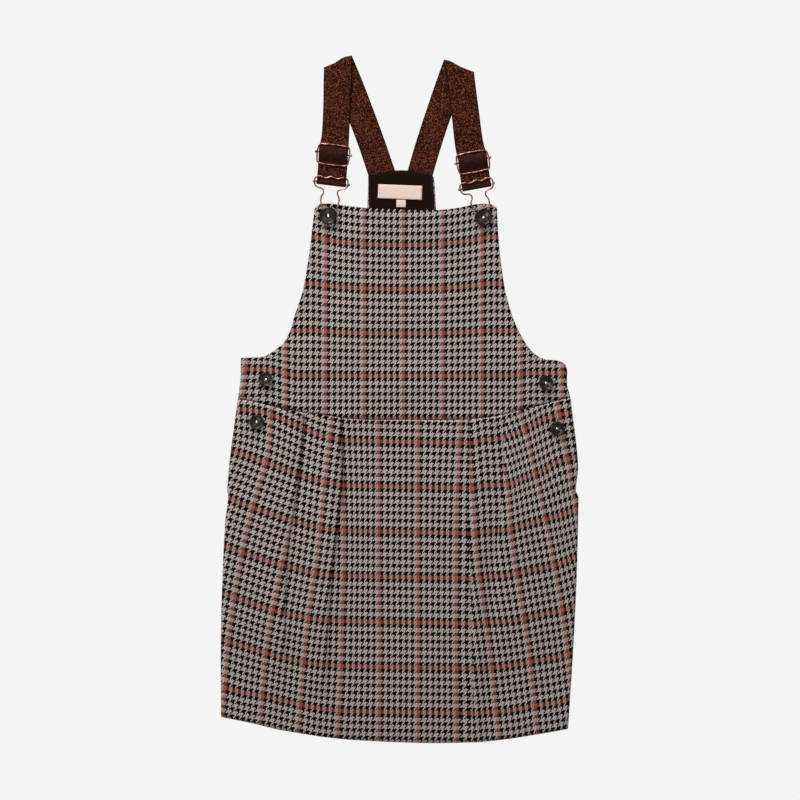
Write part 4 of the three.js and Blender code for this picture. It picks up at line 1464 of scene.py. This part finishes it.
# %% Make wires and knobbed bars
WIRE = 1.5
SLIDER_HEIGHT = 4.5
CLIP_HEIGHT = 4.8
CLIP_HEIGHT_AT_BUTTON = 2.8
SLIDER_HALF_WIDTH = 14.8
SLIDER_ABOVE = 7.7
SLIDER_BELOW = 10.5
SLIDER_CORNER = 2.6
CORNER_FULLNESS = 0.7
BAR_HALF_LENGTH = 16.6
KNOB = 2.6
SHANK_LOOP_RADIUS = 4.0
SHANK_LOOP_ANGLES = (50, 15, -25, -60)
clip_wire = table(
    "across along drop",
    (0.0, 5.8, 0.0), (5.6, 4.2, 0.0), (11.4, 5.6, 0.0), (15.2, 3.8, 0.0), (15.9, 0.0, 0.0),
    (14.2, -4.2, 0.0), (8.4, -6.2, 0.0), (6.6, -8.6, 0.1), (8.6, -14.6, 0.5), (8.1, -20.0, 0.9),
    (5.6, -25.6, 1.0),
)


def put(points, x, y, z, turn):
    """Points turned about Z, moved to their place, and in metres."""
    angle = math.radians(turn)
    rotation = np.array([
        [math.cos(angle), math.sin(angle), 0],
        [-math.sin(angle), math.cos(angle), 0],
        [0, 0, 1],
    ])
    return (np.array(points) @ rotation + (x, y, z)) * MM


def bent_wire(name, points):
    """A closed loop of round wire through its bends."""
    curve = bpy.data.curves.new(name, "CURVE")
    curve.dimensions = "3D"
    curve.bevel_depth = WIRE / 2 * MM
    curve.bevel_resolution = 4
    curve.resolution_u = 8
    spline = curve.splines.new("BEZIER")
    spline.use_cyclic_u = True
    spline.bezier_points.add(len(points) - 1)
    for bend, place in zip(spline.bezier_points, points):
        bend.co = place
        bend.handle_left_type = "AUTO"
        bend.handle_right_type = "AUTO"
    holder = bpy.data.objects.new(f"{name}_curve", curve)
    bpy.context.scene.collection.objects.link(holder)
    bpy.context.view_layer.update()
    shaped = holder.evaluated_get(bpy.context.evaluated_depsgraph_get())
    mesh = bpy.data.meshes.new_from_object(shaped)
    bpy.data.objects.remove(holder)
    bpy.data.curves.remove(curve)
    mesh.name = name
    return bpy.data.objects.new(name, mesh)


def slider_bends():
    """The slider's rounded frame, corner by corner."""
    bends = []
    corners = ((-1, SLIDER_ABOVE), (-1, -SLIDER_BELOW), (1, -SLIDER_BELOW), (1, SLIDER_ABOVE))
    for i, (side, end) in enumerate(corners):
        x = side * SLIDER_HALF_WIDTH
        in_x = side * (SLIDER_HALF_WIDTH - SLIDER_CORNER)
        in_y = end - math.copysign(SLIDER_CORNER, end)
        between_x = lerp(in_x, x, CORNER_FULLNESS)
        between_y = lerp(in_y, end, CORNER_FULLNESS)
        round_bend = [(x, in_y, 0), (between_x, between_y, 0), (in_x, end, 0)]
        bends.extend(reversed(round_bend) if i % 2 == 0 else round_bend)
    return bends


def clip_bends(reach):
    """The clip's wire: a waved top, shoulders, and a narrow loop that hooks round the button."""
    drop = CLIP_HEIGHT - CLIP_HEIGHT_AT_BUTTON
    half = [(a, b, -d * drop) for a, b, d in zip(*clip_wire.values())]
    for angle in SHANK_LOOP_ANGLES:
        turn = math.radians(angle)
        half.append((SHANK_LOOP_RADIUS * math.cos(turn),
                     -reach + SHANK_LOOP_RADIUS * math.sin(turn), -drop))
    mirrored = [(-a, b, c) for a, b, c in half[:0:-1]]
    return [*half, (0, -reach - SHANK_LOOP_RADIUS, -drop), *mirrored]


def spun(name, profile, axis, steps=32):
    """A profile of radius and place along the axis, spun all the way round.

    Its Turned map holds those two numbers in millimetres, so a finish can follow the turning.
    """
    bm = bmesh.new()
    verts = []
    for radius, along in profile:
        place = (radius, 0, along) if axis == "Z" else (along, 0, radius)
        verts.append(bm.verts.new(place))
    edges = [bm.edges.new(pair) for pair in zip(verts, verts[1:])]
    spin_axis = (0, 0, 1) if axis == "Z" else (1, 0, 0)
    bmesh.ops.spin(
        bm, geom=verts + edges, cent=(0, 0, 0), axis=spin_axis, dvec=(0, 0, 0),
        angle=2 * math.pi, steps=steps, use_merge=True, use_duplicate=False,
    )
    bmesh.ops.remove_doubles(bm, verts=bm.verts[:], dist=1e-4)
    bmesh.ops.recalc_face_normals(bm, faces=bm.faces[:])
    turned = bm.loops.layers.uv.new("Turned")
    for face in bm.faces:
        for loop in face.loops:
            x, y, z = loop.vert.co
            along, aside = (z, x) if axis == "Z" else (x, z)
            loop[turned].uv = (math.hypot(aside, y), along)
    mesh = bpy.data.meshes.new(name)
    bm.to_mesh(mesh)
    bm.free()
    return mesh


def bar_profile():
    """The bar's outline from knob to knob, as radius and place along it."""
    knob = []
    for angle in np.linspace(math.pi, math.pi * 0.28, 9):
        knob.append((KNOB / 2 * math.sin(angle), -BAR_HALF_LENGTH + KNOB / 2 * math.cos(angle)))
    start = [*knob, (WIRE / 2, knob[-1][1] + 0.5)]
    return [*start, *((r, -a) for r, a in reversed(start))]


def move_mesh(mesh, x, y, z, turn):
    """Puts a mesh's points in their place, in metres."""
    places = np.array([vert.co[:] for vert in mesh.vertices])
    mesh.vertices.foreach_set("co", put(places, x, y, z, turn).ravel())
    mesh.update()
    return mesh


print("the slider is", 2 * SLIDER_HALF_WIDTH, "mm wide")

# %% [markdown]
# Plated wire is bright, but never perfect. A little noise varies the plating's colour and gloss,
# and a finer one roughens it slightly.

# %% The plating, and the buckles themselves
def plating():
    """The copper-coloured metal of the buckles."""
    material, tree, shader = new_material("rose gold plating", Metallic=1.0)
    place = place_node(tree, "ShaderNodeTexCoord").outputs["Object"]
    cloudy = noise(tree, place, 260.0, 3.0)
    fine = noise(tree, place, 2400.0, 2.0, 0.7)
    inputs = {0: cloudy, 1: 0.36, 2: 0.64, 3: 0.0, 4: 1.0}
    worn = place_node(tree, "ShaderNodeMapRange", inputs).outputs[0]
    tint = mix_colours(tree, worn, colour(200, 142, 122), colour(92, 58, 47))
    gloss = calc(tree, "MULTIPLY_ADD", fine, 0.22, calc(tree, "MULTIPLY_ADD", cloudy, 0.1, 0.14))
    bump = place_node(tree, "ShaderNodeBump", {"Height": fine, "Distance": 0.01 * MM})
    tree.links.new(tint, shader.inputs["Base Color"])
    tree.links.new(gloss, shader.inputs["Roughness"])
    tree.links.new(bump.outputs[0], shader.inputs["Normal"])
    return material


copper = plating()
for side, buckle in buckles.items():
    x, y, turn = buckle["x"], buckle["y"], buckle["turn"]
    clip_place = (buckle["clip_x"], buckle["clip_y"])
    frame_wire = bent_wire(f"slider_wire_{side}", put(slider_bends(), x, y, SLIDER_HEIGHT, turn))
    finish_piece(frame_wire, [f"slider_{side}"], copper)
    bar_mesh = move_mesh(spun(f"slider_bar_{side}", bar_profile(), "X"), x, y, SLIDER_HEIGHT, turn)
    finish_piece(bpy.data.objects.new(bar_mesh.name, bar_mesh), [], copper)
    bar_mesh = spun(f"hanging_bar_{side}", bar_profile(), "X")
    move_mesh(bar_mesh, *clip_place, CLIP_BAR_HEIGHT, turn)
    hanging_bar = bpy.data.objects.new(bar_mesh.name, bar_mesh)
    finish_piece(hanging_bar, [f"clip_bar_{side}"], copper)
    bends = put(clip_bends(buckle["reach"]), *clip_place, CLIP_HEIGHT, buckle["lean"])
    finish_piece(bent_wire(f"hook_{side}", bends), [f"clip_wire_{side}"], copper)
print("two buckles of", WIRE, "mm wire")

# %% [markdown]
# ## The buttons
# The six buttons are turned from dark horn, or from a plastic that copies it. A lathe leaves a
# rounded rim and a hollow with fine rings, and the end of a metal tack sits in the middle; its
# near-white colour is a painted highlight. So each one is a profile spun about its own axis. The
# shank under it stands on the cloth.

# %% The marbled horn
PAINTED_HIGHLIGHT_RADIUS = 1.05
RING_PITCH = 0.8


def horn():
    """Dark horn with pale clouds, turned rings, and a near-white metal middle that is a painted
    highlight.
    """
    material, tree, shader = new_material(
        "marbled horn", Specular_IOR_Level=0.25, Coat_Weight=0.12, Coat_Roughness=0.08
    )
    place = place_node(tree, "ShaderNodeTexCoord").outputs["Object"]
    turned = place_node(tree, "ShaderNodeUVMap", uv_map="Turned").outputs[0]
    radius = place_node(tree, "ShaderNodeSeparateXYZ", {0: turned}).outputs[0]
    swirl = place_node(
        tree, "ShaderNodeTexNoise", {"Vector": place, "Scale": 90.0}
    ).outputs["Color"]
    bent = place_node(
        tree, "ShaderNodeVectorMath", {0: swirl, 1: (0.012, 0.012, 0.0), 2: place},
        operation="MULTIPLY_ADD",
    ).outputs[0]
    inputs = {0: noise(tree, bent, 110.0, 3.0, 0.6), 1: 0.54, 2: 0.76, 3: 0.0, 4: 1.0}
    share = place_node(tree, "ShaderNodeMapRange", inputs).outputs[0]
    rings = calc(tree, "SINE", calc(tree, "MULTIPLY", radius, 2 * math.pi / RING_PITCH))
    # The rings also lighten and darken the horn's colour: painted shade in the turned grooves and
    # painted light on their crests.
    ring_shaded_share = calc(tree, "MULTIPLY_ADD", rings, 0.12, share)
    tint = mix_colours(tree, ring_shaded_share, colour(15, 10, 8), colour(96, 82, 76))
    # The tack's near-white metal colour is a painted highlight: it puts the bright dot in each
    # button's middle.
    middle = calc(tree, "LESS_THAN", radius, PAINTED_HIGHLIGHT_RADIUS)
    tint_with_painted_highlight = mix_colours(tree, middle, tint, colour(246, 240, 236))
    scratches = noise(tree, place, 1500.0, 2.0)
    bump = place_node(tree, "ShaderNodeBump", {"Height": rings, "Distance": 0.03 * MM})
    tree.links.new(tint_with_painted_highlight, shader.inputs["Base Color"])
    tree.links.new(middle, shader.inputs["Metallic"])
    tree.links.new(calc(tree, "MULTIPLY_ADD", scratches, 0.12, 0.14), shader.inputs["Roughness"])
    tree.links.new(bump.outputs[0], shader.inputs["Normal"])
    return material


marbled_horn = horn()
print("material:", marbled_horn.name)

# %% [markdown]
# A button's profile runs from the foot of its shank, round the rim, down into the hollow and up
# over the tack. The table gives the place of each button, its radius, the radius of its neck, and
# how high its shank lifts it off the cloth.

# %% Turn the buttons and place them
BUTTON_THICKNESS = 2.6
HOLLOW_DEPTH = 0.6
HOLLOW_STEPS = 12


def button_profile(radius, neck, shank):
    """Radius and height from the foot of the shank, over the rim, to the tack in the middle."""
    top = shank + BUTTON_THICKNESS
    profile = [(0, 0), (neck, 0), (neck, shank), (radius * 0.8, shank)]
    for angle in np.linspace(-70, 80, 9):
        turn = math.radians(angle)
        profile.append((radius * (0.9 + 0.1 * math.cos(turn)),
                        lerp(shank, top, 0.5) + BUTTON_THICKNESS / 2 * math.sin(turn)))
    profile += [(radius * 0.86, top), (radius * 0.81, top - 0.1), (radius * 0.74, top - 0.5)]
    for share in np.linspace(0, 1, HOLLOW_STEPS):
        profile.append((radius * lerp(0.68, 0.26, share), top - HOLLOW_DEPTH - 0.35 * share))
    tack = ((1.25, -0.95), (1.05, -0.8), (0.85, -0.7), (0.45, -0.63), (0, -0.6))
    return [*profile, *((r, top + drop) for r, drop in tack)]


buttons = (
    ("bib_button", "left", -67.7, 174.3, 8.35, 2.4, 2.5),
    ("bib_button", "right", 79.5, 172.9, 8.35, 2.4, 2.5),
    ("side_button_upper", "left", -127.2, 19.0, 6.9, 2.2, 1.0),
    ("side_button_upper", "right", 138.9, 15.8, 6.9, 2.2, 1.0),
    ("side_button_lower", "left", -135.6, -21.4, 7.1, 2.2, 1.0),
    ("side_button_lower", "right", 149.2, -27.5, 6.9, 2.2, 1.0),
)
for node, side, x, y, radius, neck, shank in buttons:
    name = f"{node}_{side}"
    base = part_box(name)[0].z / MM
    mesh = spun(f"horn_{name}", button_profile(radius, neck, shank), "Z", 48)
    move_mesh(mesh, x, y, base, 0)
    finish_piece(bpy.data.objects.new(mesh.name, mesh), [name], marbled_horn)
    print(name, "stands", round(base, 2), "mm above the floor")

# %% [markdown]
# ## The floor and the light
# The dress lies on a light table: a white sheet lit from below, which photographers use so that no
# shadow falls beside the clothes. Its glow is an emission. The other light comes evenly from all
# round, from one large soft lamp beyond the shoulders, which gives the folds their shade, and from
# a small one by the camera, which glints in the buttons. The bright dots in their middles are also
# a painted highlight: the tacks there are coloured near white.

# %% Lay the floor and hang the lights
FLOOR_SIZE = 6.0
FLOOR_DROP = 0.3
WORLD_LIGHT = 0.38
bm = bmesh.new()
bmesh.ops.create_grid(bm, x_segments=1, y_segments=1, size=FLOOR_SIZE / 2)
bmesh.ops.translate(bm, verts=bm.verts[:], vec=(0, 0, -FLOOR_DROP * MM))
floor_mesh = bpy.data.meshes.new("floor")
bm.to_mesh(floor_mesh)
bm.free()
floor = bpy.data.objects.new("floor", floor_mesh)
bpy.context.scene.collection.objects.link(floor)
floor_material, tree, shader = new_material("pale floor", Specular_IOR_Level=0.0, Roughness=1.0)
shader.inputs["Base Color"].default_value = colour(20, 20, 20)
shader.inputs["Emission Color"].default_value = colour(243.4, 243.4, 243.4)
shader.inputs["Emission Strength"].default_value = 1.0
floor_mesh.materials.append(floor_material)

world = bpy.data.worlds.new("studio")
world.use_nodes = True
background = world.node_tree.nodes["Background"]
background.inputs["Color"].default_value = (1, 1, 1, 1)
background.inputs["Strength"].default_value = WORLD_LIGHT
bpy.context.scene.world = world


def soft_lamp(name, place, size, power):
    """A square lamp that points at the middle of the dress. Its place and size are in metres."""
    lamp = bpy.data.lights.new(name, "AREA")
    lamp.size = size
    lamp.energy = power
    holder = bpy.data.objects.new(name, lamp)
    holder.location = place
    to_middle = -holder.location
    holder.rotation_euler = to_middle.to_track_quat("-Z", "Y").to_euler()
    bpy.context.scene.collection.objects.link(holder)


soft_lamp("lamp_beyond", (-0.6, 1.7, 0.95), size=1.0, power=41.0)
soft_lamp("lamp_by_camera", (-0.12, 0.16, 1.7), size=0.22, power=3.0)
bpy.context.scene.view_settings.view_transform = "Standard"
print("floor and lights are in place")
